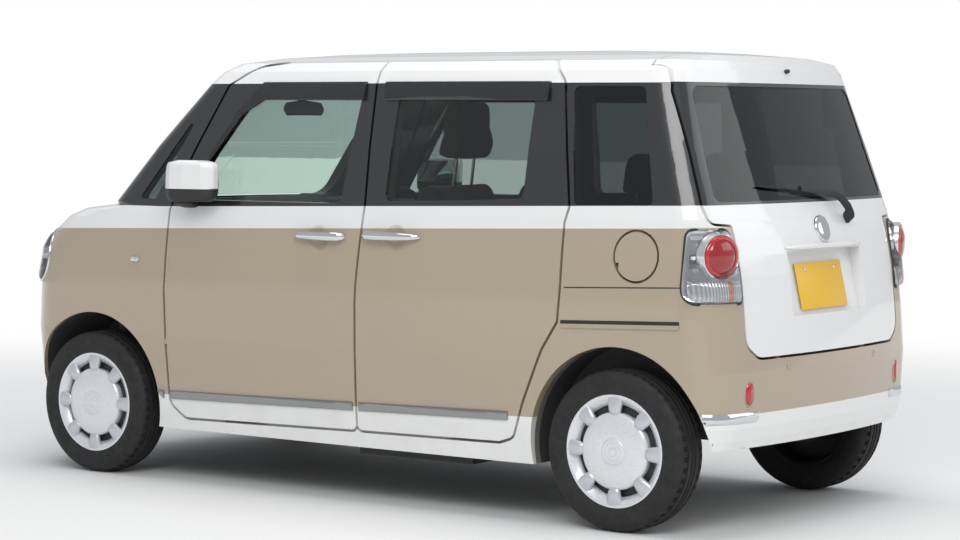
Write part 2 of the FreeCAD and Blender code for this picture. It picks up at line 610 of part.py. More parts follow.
def bound(text):
    """An expression with each named size read from the sheet."""
    words = []
    word = ""
    for letter in text + " ":
        if letter.isalnum() or letter in "_.":
            word += letter
            continue
        words.append("Sizes." + word if word in size else word)
        words.append(letter)
        word = ""
    return "".join(words).strip()


def padded_body(label, corners, width):
    body, sketch = sketched(label, "XZ_Plane", corners)
    pad = body.newObject("PartDesign::Pad", label + "_pad")
    pad.Profile = sketch
    pad.SideType = "Symmetric"
    pad.setExpression("Length", bound(width))
    return body


def turned_body(label, corners):
    """Revolved about the Y axis: corners are radius and distance along the axle."""
    body, sketch = sketched(label, "XY_Plane", corners)
    turn = body.newObject("PartDesign::Revolution", label + "_turn")
    turn.Profile = sketch
    turn.ReferenceAxis = (sketch, ["V_Axis"])
    turn.Angle = 360
    return body


def put(piece, x, y, z):
    for axis, text in (("x", x), ("y", y), ("z", z)):
        piece.setExpression("Placement.Base." + axis, bound(text))
    return piece


FRONT_AXLE = "body_length / 2 - front_overhang"
REAR_AXLE = "body_length / 2 - front_overhang - wheelbase"
AXLE_Z = "tyre_diameter / 2"

TYRE = [
    ("rim_diameter / 2", "-rim_width / 2 + 4"),
    ("rim_diameter / 2 + 50", "-tyre_width / 2"),
    ("tyre_diameter / 2 - 14", "-tyre_width / 2 + 8"),
    ("tyre_diameter / 2", "-tyre_width / 2 + 26"),
    ("tyre_diameter / 2", "tyre_width / 2 - 26"),
    ("tyre_diameter / 2 - 14", "tyre_width / 2 - 8"),
    ("rim_diameter / 2 + 50", "tyre_width / 2"),
    ("rim_diameter / 2", "rim_width / 2 - 4"),
]
# Wheel: rim barrel and flange, cover disc with a domed centre, bore from the inside.
WHEEL = [
    ("hub_bore / 2 + hub_play", "-20"),
    ("60", "-20"),
    ("rim_diameter / 2 - 12", "30"),
    ("rim_diameter / 2 - 12", "-rim_width / 2 - 4"),
    ("rim_diameter / 2 - 0.3", "-rim_width / 2 - 4"),
    ("rim_diameter / 2 - 0.3", "rim_width / 2 - 3.4"),
    ("cover_diameter / 2", "rim_width / 2 + 2.8"),
    ("cover_diameter / 2", "rim_width / 2 + 6"),
    ("rim_diameter / 2 - 22", "rim_width / 2 - 5"),
    ("75", "rim_width / 2 - 4"),
    ("0", "rim_width / 2 + 8"),
    ("0", "40"),
    ("hub_bore / 2 + hub_play", "40"),
]
# Floor, seats and dashboard: side view outlines padded across the cabin.
FLOOR = [
    ("985", "floor_height"), ("-826", "floor_height"), ("-861", "load_floor"), ("-1590", "load_floor"),
    ("-1590", "load_floor + floor_wall"), ("-835", "load_floor + floor_wall"),
    ("-800", "floor_height + floor_wall"), ("985", "floor_height + floor_wall"),
]
DASHBOARD = [
    ("984.7", "700"), ("984.7", "1022"), ("860", "1030"), ("700", "1000"), ("650", "930"), ("655", "800"),
    ("760", "740"), ("860", "700"),
]
FRONT_SEAT = [
    ("330", "420"), ("345", "540"), ("300", "565"), ("-60", "545"), ("-110", "600"), ("-250", "1130"),
    ("-230", "1290"), ("-310", "1300"), ("-345", "1130"), ("-240", "560"), ("-200", "430"),
    ("-140", "400"), ("-140", "floor_height + floor_wall + seat_gap"),
    ("200", "floor_height + floor_wall + seat_gap"), ("200", "400"),
]
REAR_SEAT = [
    ("-480", "440"), ("-470", "575"), ("-520", "602"), ("-840", "602"), ("-900", "660"), ("-1030", "1110"),
    ("-1110", "1120"), ("-1000", "load_floor + floor_wall + seat_gap"),
    ("-815", "load_floor + floor_wall + seat_gap"), ("-785", "520"), ("-760", "420"),
    ("-740", "floor_height + floor_wall + seat_gap"), ("-560", "floor_height + floor_wall + seat_gap"),
    ("-560", "400"),
]


def solid(kind, name, sizes, place):
    """A primitive with sizes and place given by expressions."""
    piece = doc.addObject("Part::" + kind, name)
    for key, text in sizes.items():
        piece.setExpression(key, bound(text))
    return put(piece, *place)


def rod(name, radius, length, place, turn):
    piece = doc.addObject("Part::Cylinder", name)
    piece.Placement = Placement(Vector(0, 0, 0), turn)
    piece.setExpression("Radius", bound(radius))
    piece.setExpression("Height", bound(length))
    return put(piece, *place)


def joined(label, members):
    piece = doc.addObject("Part::MultiFuse", label)
    piece.Label = label
    piece.Shapes = members
    return piece


def less(label, base, tools):
    tool = tools[0] if len(tools) == 1 else joined(label + "_tools", tools)
    piece = doc.addObject("Part::Cut", label)
    piece.Label = label
    piece.Base = base
    piece.Tool = tool
    return piece


ALONG_Y = Rotation(Vector(1, 0, 0), -90)
ALONG_X = Rotation(Vector(0, 1, 0), 90)
UPRIGHT = Rotation()

# Wheel cover: eight vents cut round the middle, and a lug with a round back on each land.
disc = turned_body("wheel_disc", WHEEL)
vents = []
lugs = []
for index in range(8):
    turn = 45.0 * index
    vent = doc.addObject("Part::Cylinder", "vent_%d" % index)
    vent.setExpression("Radius", bound("vent_outer"))
    vent.setExpression("Angle", bound("vent_angle"))
    vent.Height = 90
    vent.Placement = Placement(Vector(0, 0, 0), Rotation(Vector(0, 1, 0), turn + 22.5).multiply(
        ALONG_Y).multiply(Rotation(Vector(0, 0, 1), -size["vent_angle"] / 2)))
    vents.append(vent)
    lug = doc.addObject("Part::Cylinder", "lug_%d" % index)
    lug.setExpression("Radius", bound("lug_radius"))
    lug.setExpression("Height", bound("rim_diameter / 2 - 6 - vent_inner"))
    outward = Rotation(Vector(0, 1, 0), turn).multiply(ALONG_X)
    lug_y = size["rim_width"] / 2 + 8 - size["lug_radius"]
    lug.Placement = Placement(outward.multVec(Vector(0, 0, size["vent_inner"])) + Vector(0, lug_y, 0), outward)
    lugs.append(lug)
vent_core = rod("vent_core", "vent_inner", "90", ("0", "0", "0"), ALONG_Y)
vent_ring = less("vent_ring", joined("vent_sectors", vents), [vent_core])
vented = less("vented_disc", disc, [vent_ring])
lug_floor = rod("lug_floor", "rim_diameter / 2", "rim_width / 2 - 12", ("0", "0", "0"), ALONG_Y)
lug_caps = less("lug_caps", joined("lug_rods", lugs), [lug_floor])
wheel_pattern = joined("wheel_pattern", [vented, lug_caps])
for end_name, axle_text in (("front", FRONT_AXLE), ("rear", REAR_AXLE)):
    for name, sign in SIDES:
        place = (axle_text, "%d * wheel_track / 2" % sign, AXLE_Z)
        node_objects.append(put(turned_body("tyre_%s_%s" % (end_name, name), TYRE), *place))
        wheel = doc.addObject("Part::Compound", "wheel_%s_%s" % (end_name, name))
        wheel.Links = [wheel_pattern]
        wheel.Placement = Placement(Vector(0, 0, 0), Rotation(Vector(0, 0, 1), 0 if sign > 0 else 180))
        node_objects.append(put(wheel, *place))

floor_plate = padded_body("floor_plate", FLOOR, "body_width - 2 * side_wall")
house_cuts = []
for end_name, axle_text, inner in (("front", FRONT_AXLE, "kingpin_half - 146"), ("rear", REAR_AXLE, "529")):
    for name, sign in SIDES:
        start = inner if sign > 0 else "-(%s) - 400" % inner
        house_cuts.append(rod("house_cut_%s_%s" % (end_name, name), "arch_radius + wheelhouse_wall",
                              "400", (axle_text, start, AXLE_Z + " + arch_rise"), ALONG_Y))
for name, corner_y in (("left", "body_width / 2 - side_wall - 45"), ("right", "-body_width / 2 + side_wall - 15")):
    house_cuts.append(solid("Box", "floor_corner_" + name, {"Length": "60", "Width": "60", "Height": "100"},
                            ("-1612", corner_y, "load_floor - 20")))
floor_pan = less("floor_pan", floor_plate, house_cuts)
dashboard = padded_body("dashboard", DASHBOARD, "body_width - 2 * side_wall - 20")
front_seats = []
for name, sign in SIDES:
    seat = padded_body("front_seat_" + name, FRONT_SEAT, "500")
    seat.setExpression("Placement.Base.y", bound("%d * 320" % sign))
    front_seats.append(seat)
rear_seat = padded_body("rear_seat", REAR_SEAT, "1040")
node_objects += [floor_pan, dashboard, joined("front_seats", front_seats), rear_seat]

# Engine, radiator and what carries them.
engine = solid("Box", "engine", {"Length": "380", "Width": "720", "Height": "520"},
               ("1060", "-360", "230 + seat_gap"))
radiator = solid("Box", "radiator", {"Length": "30", "Width": "700", "Height": "440"},
                 ("1490", "-350", "230 + seat_gap"))
arms = []
for name, sign in SIDES:
    rail_y = "320" if sign > 0 else "-360"
    arms.append(solid("Box", "rail_" + name, {"Length": "380", "Width": "40", "Height": "40"},
                      ("1150", rail_y, "190")))
    arm_y = "300" if sign > 0 else "-kingpin_half - 20"
    arms.append(solid("Box", "arm_" + name, {"Length": "50", "Width": "kingpin_half - 280", "Height": "22"},
                      (FRONT_AXLE + " - 25", arm_y, "195")))
    arms.append(rod("strut_" + name, "20", "arch_radius + %s + arch_rise - 0.6 - 400.5" % AXLE_Z,
                    (FRONT_AXLE, "%d * kingpin_half" % sign, "400.5"), UPRIGHT))
    arms.append(rod("strut_spring_" + name, "32", "120",
                    (FRONT_AXLE, "%d * kingpin_half" % sign, "500"), UPRIGHT))
crossmember = solid("Box", "crossmember", {"Length": "120", "Width": "700", "Height": "40"},
                    ("1152.5", "-350", "190"))
bar = solid("Box", "front_bar", {"Length": "40", "Width": "700", "Height": "40"}, ("1490", "-350", "190"))
front_suspension = joined("front_suspension", [crossmember, bar] + arms)
node_objects += [engine, radiator, front_suspension]
for name, sign in SIDES:
    post = rod("knuckle_post_" + name, "22", "182.5", (FRONT_AXLE, "%d * kingpin_half" % sign, "217.5"),
               UPRIGHT)
    stub_start = "kingpin_half" if sign > 0 else "-wheel_track / 2 - 37"
    stub = rod("knuckle_stub_" + name, "hub_bore / 2", "wheel_track / 2 + 37 - kingpin_half",
               (FRONT_AXLE, stub_start, AXLE_Z), ALONG_Y)
    plate_start = "wheel_track / 2 - 64" if sign > 0 else "-wheel_track / 2 + 58"
    plate = rod("knuckle_plate_" + name, "100", "6", (FRONT_AXLE, plate_start, AXLE_Z), ALONG_Y)
    node_objects.append(joined("knuckle_" + name, [post, stub, plate]))

# Rear axle: cross beam, trailing arms, springs and spindles.
beam = solid("Box", "rear_beam", {"Length": "70", "Width": "1020", "Height": "60"},
             (REAR_AXLE + " + 120", "-510", AXLE_Z + " - 30"))
rear_members = [beam]
for name, sign in SIDES:
    arm_y = "480" if sign > 0 else "-520"
    rear_members.append(solid("Box", "trailing_arm_" + name,
                              {"Length": "-836 - (%s) + 30" % REAR_AXLE, "Width": "40", "Height": "40"},
                              (REAR_AXLE + " - 30", arm_y, AXLE_Z + " - 20")))
    rear_members.append(rod("rear_spring_" + name, "45", "load_floor - seat_gap - 300",
                            (REAR_AXLE + " + 150", "%d * 420" % sign, "300"), UPRIGHT))
    stub_start = "490" if sign > 0 else "-wheel_track / 2 - 37"
    rear_members.append(rod("rear_stub_" + name, "hub_bore / 2", "wheel_track / 2 + 37 - 490",
                            (REAR_AXLE, stub_start, AXLE_Z), ALONG_Y))
    plate_start = "wheel_track / 2 - 64" if sign > 0 else "-wheel_track / 2 + 58"
    rear_members.append(rod("rear_plate_" + name, "100", "6", (REAR_AXLE, plate_start, AXLE_Z), ALONG_Y))
node_objects.append(joined("rear_axle", rear_members))

fuel_tank = solid("Box", "fuel_tank", {"Length": "520", "Width": "700", "Height": "60"},
                  ("-560", "-100", "floor_height - seat_gap - 60"))
node_objects.append(fuel_tank)

# Exhaust: pipe and silencer hung under the floor.
muffler = rod("muffler", "80", "260", ("-1560", "-200", "450"), ALONG_X)
pipe_rear = rod("pipe_rear", "22", "430", ("-1330", "-200", "450"), ALONG_X)
pipe_down = rod("pipe_down", "22", "272", ("-905", "-200", "200"), UPRIGHT)
pipe_front = rod("pipe_front", "22", "1940", ("-927", "-200", "200"), ALONG_X)
hangers = [solid("Box", "hanger_%d" % number, {"Length": "20", "Width": "20", "Height": height},
                 (x, "-210", z))
           for number, (x, z, height) in enumerate((("-1500", "520", "load_floor - seat_gap - 520"),
                                                    ("-300", "205", "floor_height - seat_gap - 205"),
                                                    ("600", "205", "floor_height - seat_gap - 205")))]
node_objects.append(joined("exhaust", [muffler, pipe_rear, pipe_down, pipe_front] + hangers))

# Steering column and wheel on the right.
COLUMN_TILT = 25.0
column_axis = Vector(-math.cos(math.radians(COLUMN_TILT)), 0, math.sin(math.radians(COLUMN_TILT)))
wheel_centre = Vector(455, -size["driver_side"], 955)
column_end = wheel_centre - column_axis * (30 + size["seat_gap"])
column = Part.makeCylinder(22, 250, column_end - column_axis * 250, column_axis)
doc.recompute()
column = column.common(block(400, 655, -500, -200, 700, 1100)).cut(dashboard.Shape)
keep("steering_column", main_solid(column))
rim_radius = size["steering_wheel_radius"]
rim_section = [(rim_radius + 14, 0), (rim_radius + 4, 13), (rim_radius - 11, 9), (rim_radius - 11, -9),
               (rim_radius + 4, -13)]
rim_wire = Part.makePolygon([Vector(r, 0, z) for r, z in rim_section + rim_section[:1]])
rim = Part.Face(rim_wire).revolve(Vector(0, 0, 0), Vector(0, 0, 1), 360)
hub = Part.makeCylinder(48, 36, Vector(0, 0, -30))
spokes = [block(30, rim_radius - 5, -22, 22, -14, -4), block(-rim_radius + 5, -30, -22, 22, -14, -4),
          block(-22, 22, -rim_radius + 5, -30, -14, -4)]
steering = hub.fuse([Part.Solid(rim.Solids[0])] + spokes).removeSplitter()
steering.Placement = Placement(wheel_centre, Rotation(Vector(0, 0, 1), column_axis).multiply(
    Rotation(Vector(0, 0, 1), 90)))
keep("steering_wheel", steering)

# Door mirrors: rounded housing on a foot.
mirror_shell = Part.makeBox(100, 192, 150, Vector(682, 752, 1092))
mirror_shell = mirror_shell.makeFillet(34, mirror_shell.Edges)
foot = block(690, 755, 680, 790, 1064, 1100)
mirror = mirror_shell.fuse(main_solid(foot.cut(outer))).removeSplitter()
keep("mirror_left", mirror)
keep("mirror_right", mirrored(mirror))

doc.recompute()

for piece in doc.Objects:
    bad = [word for word in piece.State if word in ("Invalid", "Error")]
    if bad:
        raise RuntimeError("%s: %s" % (piece.Label, bad))
faulty = [piece.Label for piece in node_objects if piece.Shape.isNull() or not piece.Shape.isValid()]
if faulty:
    raise RuntimeError("shapes not valid: %s" % faulty)

os.makedirs("parts", exist_ok=True)
for piece in node_objects:
    piece.Shape.exportStep("parts/%s.step" % piece.Label)
    print(piece.Label, len(piece.Shape.Solids), round(piece.Shape.Volume / 1e6, 2), "litres")
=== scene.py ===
import math

import bmesh
import bpy
from mathutils import Matrix, Vector, geometry
from mathutils.bvhtree import BVHTree


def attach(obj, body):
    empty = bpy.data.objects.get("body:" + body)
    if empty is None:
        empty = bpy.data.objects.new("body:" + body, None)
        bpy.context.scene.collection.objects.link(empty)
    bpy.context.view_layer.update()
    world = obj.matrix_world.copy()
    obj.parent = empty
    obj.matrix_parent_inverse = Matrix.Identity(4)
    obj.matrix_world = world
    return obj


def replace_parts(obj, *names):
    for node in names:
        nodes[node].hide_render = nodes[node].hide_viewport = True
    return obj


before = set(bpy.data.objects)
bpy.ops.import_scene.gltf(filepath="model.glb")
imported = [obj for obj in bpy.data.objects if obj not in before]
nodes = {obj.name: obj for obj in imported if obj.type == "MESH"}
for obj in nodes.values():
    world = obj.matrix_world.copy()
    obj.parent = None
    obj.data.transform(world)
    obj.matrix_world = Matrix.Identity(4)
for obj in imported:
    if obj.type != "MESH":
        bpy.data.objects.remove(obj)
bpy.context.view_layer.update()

scene = bpy.context.scene
SIDES = (("left", 1.0), ("right", -1.0))

# Colours as they look under plain light.
BEIGE = (0.4, 0.325, 0.235)
PEARL = (0.8, 0.8, 0.79)
GLOSS_BLACK = (0.012, 0.012, 0.013)
TRIM_BLACK = (0.022, 0.022, 0.023)
CHROME = (0.72, 0.73, 0.74)
LINER = (0.2, 0.18, 0.155)
DUST = (0.42, 0.39, 0.34)

# Heights of the beige paint's two edges at x 0, and how much each falls per metre forward, in metres.
WAIST_HEIGHT, WAIST_RISE = 1.0008, 0.0289
SKIRT_HEIGHT, SKIRT_RISE = 0.352, 0.021
# Behind this place the skirt is the bumper's, which starts higher.
BUMPER_START, BUMPER_STEP = -1.5, 0.03
# The liner shows within this half width, which leans in above the waist, and between these limits.
LINER_HALF, LINER_LEAN_FROM, LINER_LEAN = 0.69, 0.861, 0.155
LINER_REAR, LINER_FRONT, LINER_TOP = -1.1, 0.55, 1.5
DUST_TOP = 0.33


# Materials

class Finish:
    """A node material under construction: a Principled shader fed from Object coordinates."""

    def __init__(self, name, **sockets):
        self.material = bpy.data.materials.new(name)
        self.material.use_nodes = True
        self.tree = self.material.node_tree
        self.shader = self.tree.nodes["Principled BSDF"]
        self.coords = self.tree.nodes.new("ShaderNodeTexCoord").outputs["Object"]
        for socket, value in sockets.items():
            self.shader.inputs[socket.replace("_", " ")].default_value = value

    def node(self, kind, **values):
        made = self.tree.nodes.new("ShaderNode" + kind)
        for key, value in values.items():
            if hasattr(made, key):
                setattr(made, key, value)
            else:
                made.inputs[key.replace("_", " ")].default_value = value
        return made

    def link(self, source, target):
        self.tree.links.new(source, target)

    def noise(self, scale, detail=3.0, stretch=(1, 1, 1)):
        mapping = self.node("Mapping", Scale=stretch)
        self.link(self.coords, mapping.inputs["Vector"])
        pattern = self.node("TexNoise", Scale=scale, Detail=detail)
        self.link(mapping.outputs["Vector"], pattern.inputs["Vector"])
        return pattern.outputs["Fac"]

    def axes(self):
        split = self.node("SeparateXYZ")
        self.link(self.coords, split.inputs["Vector"])
        return split.outputs

    def math(self, operation, first, second=0.0):
        made = self.node("Math", operation=operation)
        for socket, value in zip(made.inputs, (first, second)):
            if isinstance(value, (int, float)):
                socket.default_value = value
            else:
                self.link(value, socket)
        return made.outputs["Value"]

    def above(self, value, limit):
        return self.math("GREATER_THAN", value, limit)

    def below(self, value, limit):
        return self.math("LESS_THAN", value, limit)

    def product(self, first, *others):
        for other in others:
            first = self.math("MULTIPLY", first, other)
        return first

    def mix(self, share, first, second):
        made = self.node("Mix", data_type="RGBA")
        self.link(share, made.inputs[0])
        for index, colour in ((6, first), (7, second)):
            if isinstance(colour, tuple):
                made.inputs[index].default_value = colour[:3] + (1.0,)
            else:
                self.link(colour, made.inputs[index])
        return made.outputs[2]

    def spread(self, fac, low, high):
        """Maps the middle of a noise onto a low and a high value."""
        made = self.node("MapRange", From_Min=0.3, From_Max=0.7, To_Min=low, To_Max=high)
        self.link(fac, made.inputs["Value"])
        return made.outputs["Result"]

    def colour(self, source):
        self.link(source, self.shader.inputs["Base Color"])
        return self

    def roughness(self, source):
        self.link(source, self.shader.inputs["Roughness"])
        return self

    def bump(self, height, strength, distance=0.001):
        made = self.node("Bump", Strength=strength, Distance=distance)
        self.link(height, made.inputs["Height"])
        self.link(made.outputs["Normal"], self.shader.inputs["Normal"])
        return self


def shade(colour, factor):
    return tuple(c * factor for c in colour)


def plain(name, colour, low_rough, high_rough, grain=400.0, bump=0.1, change=0.85, **sockets):
    """A material whose colour, roughness and relief vary softly over the surface."""
    made = Finish(name, **sockets)
    broad = made.noise(6.0, 4.0)
    made.colour(made.mix(broad, colour, shade(colour, change)))
    fine = made.noise(grain, 2.0)
    made.roughness(made.spread(fine, low_rough, high_rough))
    made.bump(fine, bump, 0.0004)
    return made.material


def body_paint(name, band=None, upper_only=False):
    """Two-tone clear-coated paint: beige between two rising lines, pearl white above and below.
    A band gives the heights of the black window band, with its rise per metre."""
    made = Finish(name, Coat_Weight=1.0, Coat_Roughness=0.03, Coat_IOR=1.5)
    x, y, z = made.axes()
    soft = made.noise(1.6, 1.0)
    paint = made.mix(soft, PEARL, shade(PEARL, 0.97))

    def sloped(rise):
        return made.math("ADD", z, made.product(x, rise))

    if not upper_only:
        beige = made.mix(soft, shade(BEIGE, 0.98), shade(BEIGE, 1.02))
        bumper = made.product(made.below(x, BUMPER_START), BUMPER_STEP)
        skirt = made.below(made.math("SUBTRACT", sloped(SKIRT_RISE), bumper), SKIRT_HEIGHT)
        white = made.math("MAXIMUM", made.above(sloped(WAIST_RISE), WAIST_HEIGHT), skirt)
        paint = made.mix(white, beige, paint)
    if band:
        low, high, rise = band
        paint = made.mix(made.product(made.above(sloped(rise), low), made.below(z, high)), paint, GLOSS_BLACK)
        if not upper_only:
            lean = made.math("SUBTRACT", LINER_LEAN_FROM, made.product(z, LINER_LEAN))
            inside = made.below(made.math("ABSOLUTE", y), made.math("MINIMUM", LINER_HALF, lean))
            inside = made.product(inside, made.below(z, LINER_TOP), made.above(x, LINER_REAR),
                                  made.below(x, LINER_FRONT))
            paint = made.mix(inside, paint, LINER)
    dust = made.product(made.below(z, DUST_TOP), made.spread(made.noise(9.0, 5.0), 0.0, 0.15))
    made.colour(made.mix(dust, paint, DUST))
    made.roughness(made.spread(made.noise(2.0, 1.0), 0.28, 0.34))
    return made.material


def glass(name, tint, rough=0.0):
    made = Finish(name, Transmission_Weight=1.0, IOR=1.45, Roughness=rough)
    made.colour(made.mix(made.noise(1.3, 1.0), tint, shade(tint, 0.94)))
    return made.material


def woven(name, colour, pitch=700.0):
    """Cloth: crossing threads as relief and as a slight change of shade."""
    made = Finish(name, Sheen_Weight=0.35, Sheen_Roughness=0.5)
    threads = []
    for axis in range(2):
        turn = made.node("Mapping", Rotation=(0.6, 0.4, math.pi / 4 + axis * math.pi / 2))
        made.link(made.coords, turn.inputs["Vector"])
        wave = made.node("TexWave", Scale=pitch / math.tau, Distortion=0.6)
        made.link(turn.outputs["Vector"], wave.inputs["Vector"])
        threads.append(wave.outputs["Fac"])
    weave = made.math("MAXIMUM", threads[0], threads[1])
    worn = made.mix(made.noise(7.0, 4.0), colour, shade(colour, 0.8))
    made.colour(made.mix(made.product(weave, 0.3), worn, shade(colour, 1.35)))
    made.roughness(made.spread(made.noise(60.0), 0.78, 0.92))
    made.bump(weave, 0.35, 0.0006)
    return made.material


# The amber bulb's distance from the car's middle, and its half width.
BULB_Y, BULB_HALF = 0.612, 0.01


def ribbed_lens_painted_light():
    """Clear lower lamp lens: upright ribs over silver, with stripes of painted highlight and painted shade
    along the ribs, and an amber bulb glowing through.
    """
    made = Finish("ribbed_lens_painted_light", Metallic=0.5, Coat_Weight=1.0)
    wave = made.node("TexWave", bands_direction="Y", Scale=38.0, Distortion=0.0)
    made.link(made.coords, wave.inputs["Vector"])
    off = made.math("SUBTRACT", made.math("ABSOLUTE", made.axes()[1]), BULB_Y)
    bulb = made.below(made.math("ABSOLUTE", off), BULB_HALF)
    # Lighter and darker stripes along the ribs: painted highlights and painted shade.
    silver = made.mix(wave.outputs["Fac"], (0.5, 0.51, 0.53), (0.82, 0.83, 0.85))
    made.colour(made.mix(made.product(bulb, 0.75), silver, (0.85, 0.28, 0.1)))
    made.roughness(made.spread(made.noise(90.0), 0.08, 0.2))
    made.bump(wave.outputs["Fac"], 0.5, 0.002)
    return made.material


def tyre_rubber():
    made = Finish("tyre_rubber")
    made.colour(made.mix(made.spread(made.noise(14.0, 5.0), 0.0, 0.5), (0.01, 0.01, 0.011),
                         (0.024, 0.023, 0.022)))
    made.roughness(made.spread(made.noise(40.0), 0.62, 0.82))
    made.bump(made.noise(900.0, 2.0), 0.15, 0.0004)
    return made.material


MATERIALS = {
    "panel": body_paint("panel_paint"),
    "side": body_paint("side_paint", (1.082, 1.532, 0.0253)),
    "gate": body_paint("tailgate_paint", (1.12, 1.535, 0.0), True),
    "roof": body_paint("roof_paint", None, True),
    "black": plain("gloss_black", GLOSS_BLACK, 0.05, 0.12, 300.0, 0.02, Coat_Weight=0.6),
    "trim": plain("grained_trim", TRIM_BLACK, 0.45, 0.62, 1400.0, 0.35),
    "chrome": plain("chrome_trim", CHROME, 0.05, 0.11, 200.0, 0.01, 0.96, Metallic=1.0),
    "silver": plain("wheel_silver", (0.76, 0.77, 0.79), 0.24, 0.34, 500.0, 0.04, 0.95, Metallic=0.35,
                    Coat_Weight=0.5),
    "lug": plain("lug_silver", (0.6, 0.61, 0.64), 0.26, 0.36, 500.0, 0.04, 0.95, Metallic=0.45,
                 Coat_Weight=0.4),
    "strip": plain("strip_metal", (0.34, 0.34, 0.34), 0.1, 0.2, 200.0, 0.02, 0.9, Metallic=1.0),
    "glass_front": glass("green_glass", (0.72, 0.84, 0.78)),
    "glass_rear": glass("grey_glass", (0.4, 0.44, 0.43)),
    "glass_dark": glass("privacy_glass", (0.16, 0.18, 0.18)),
    "clear": glass("clear_lens", (0.92, 0.93, 0.95), 0.03),
    "red": plain("red_lens", (0.55, 0.008, 0.012), 0.06, 0.12, 260.0, 0.08, 0.8, Coat_Weight=1.0),
    "reflector": plain("lamp_reflector", (0.78, 0.79, 0.8), 0.1, 0.22, 120.0, 0.05, 0.8, Metallic=0.85,
                       Coat_Weight=1.0),
    "rubber": tyre_rubber(),
    "seat": woven("seat_cloth", (0.105, 0.09, 0.076)),
    "piping": woven("seat_piping", (0.17, 0.145, 0.12), 1800.0),
    "dash": plain("dash_grain", (0.055, 0.05, 0.046), 0.5, 0.68, 1100.0, 0.3),
    "pale": plain("pale_trim", (0.3, 0.27, 0.22), 0.5, 0.65, 1100.0, 0.25),
    "under": plain("underseal", (0.05, 0.05, 0.05), 0.65, 0.9, 90.0, 0.5),
    "chassis": plain("chassis_paint", (0.03, 0.03, 0.032), 0.4, 0.6, 220.0, 0.25),
    "cast": plain("cast_metal", (0.22, 0.22, 0.23), 0.45, 0.7, 260.0, 0.4, Metallic=0.8),
    "pipe": plain("pipe_steel", (0.3, 0.28, 0.26), 0.35, 0.6, 160.0, 0.3, 0.6, Metallic=0.9),
    "ribs": ribbed_lens_painted_light(),
    "prism": plain("red_prism", (0.42, 0.004, 0.01), 0.05, 0.2, 120.0, 0.9, 0.55, Coat_Weight=1.0),
    "smoke": plain("smoke_reflex", (0.22, 0.22, 0.23), 0.08, 0.2, 160.0, 0.5, 0.7, Metallic=0.6,
                   Coat_Weight=1.0),
    "mirror": plain("mirror_face", (0.85, 0.87, 0.88), 0.02, 0.03, 50.0, 0.0, 0.98, Metallic=1.0),
    "pearl": plain("pearl_paint", PEARL, 0.22, 0.3, 300.0, 0.02, 0.97, Coat_Weight=0.9),
    "beige": plain("beige_paint", BEIGE, 0.22, 0.3, 300.0, 0.02, 0.97, Coat_Weight=0.9),
    "plate": plain("plate_enamel", (0.85, 0.5, 0.035), 0.28, 0.4, 300.0, 0.05, 0.95),
}

NODE_FINISH = {
    "side": "body_side_left body_side_right front_door_left front_door_right sliding_door_left "
            "sliding_door_right rear_panel",
    "roof": "roof_panel",
    "gate": "tailgate",
    "panel": "bonnet fender_left fender_right front_bumper rear_bumper fuel_lid headlamps tail_lamps",
    "trim": "bulkhead grille fuel_tank mirror_left mirror_right",
    "under": "floor_pan wheelhouses",
    "glass_front": "windscreen front_door_glass_left front_door_glass_right",
    "glass_rear": "sliding_door_glasses",
    "glass_dark": "quarter_glasses tailgate_glass",
    "dash": "dashboard steering_column steering_wheel",
    "cast": "engine radiator",
    "chassis": "front_suspension knuckle_left knuckle_right rear_axle",
    "pipe": "exhaust",
    "seat": "front_seats rear_seat",
}
for finish_name, node_names in NODE_FINISH.items():
    for node_name in node_names.split():
        mesh = nodes[node_name].data
        mesh.materials.clear()
        mesh.materials.append(MATERIALS[finish_name])


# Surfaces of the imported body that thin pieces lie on

# A search along a direction starts this far before the car's middle, and goes this far.
SEARCH_START, SEARCH_REACH = 3.0, 2.6
# Where a corner's surface is missing, a place stays this far from the upright axis.
BARE_REACH = 0.12
MERGE = 1e-5


def surface(*names):
    """A search tree over the named CAD nodes."""
    points, faces = [], []
    for name in names:
        mesh = nodes[name].data
        start = len(points)
        points.extend(v.co.copy() for v in mesh.vertices)
        faces.extend([start + i for i in p.vertices] for p in mesh.polygons)
    return BVHTree.FromPolygons(points, faces)


def lay_on(bm, tree, direction, lift):
    """Moves each vertex along a direction onto a surface, and back out by the lift."""
    towards = Vector(direction).normalized()
    stray = []
    for vertex in bm.verts:
        start = vertex.co - towards * (vertex.co.dot(towards) + SEARCH_START)
        place = tree.ray_cast(start, towards, SEARCH_REACH)[0]
        if place is None:
            stray.append(vertex)
        else:
            vertex.co = place - towards * lift
    bmesh.ops.delete(bm, geom=stray, context="VERTS")


# Pieces

def add_object(name, data):
    """Puts a camera, a lamp or the shape of a bmesh into the scene."""
    if isinstance(data, bmesh.types.BMesh):
        bm, data = data, bpy.data.meshes.new(name)
        bm.to_mesh(data)
        bm.free()
    made = bpy.data.objects.new(name, data)
    scene.collection.objects.link(made)
    return made


def finish_piece(name, bm, material, body, smooth=35.0):
    """Turns a bmesh into a named object that rides on a body."""
    piece = add_object(name, bm)
    mesh = piece.data
    mesh.materials.append(MATERIALS[material])
    mesh.shade_smooth()
    mesh.set_sharp_from_angle(angle=math.radians(smooth))
    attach(piece, body)
    return piece


def face_outwards(bm):
    bmesh.ops.recalc_face_normals(bm, faces=bm.faces[:])


def round_off(bm, geom, offset, segments, affect="EDGES"):
    bmesh.ops.bevel(bm, geom=geom, offset=offset, offset_type="OFFSET", segments=segments, profile=0.5,
                    affect=affect, material=-1)


def raised(bm, faces):
    """Extrudes faces without moving them yet, and gives the new vertices."""
    made = bmesh.ops.extrude_face_region(bm, geom=faces)
    return [v for v in made["geom"] if isinstance(v, bmesh.types.BMVert)]


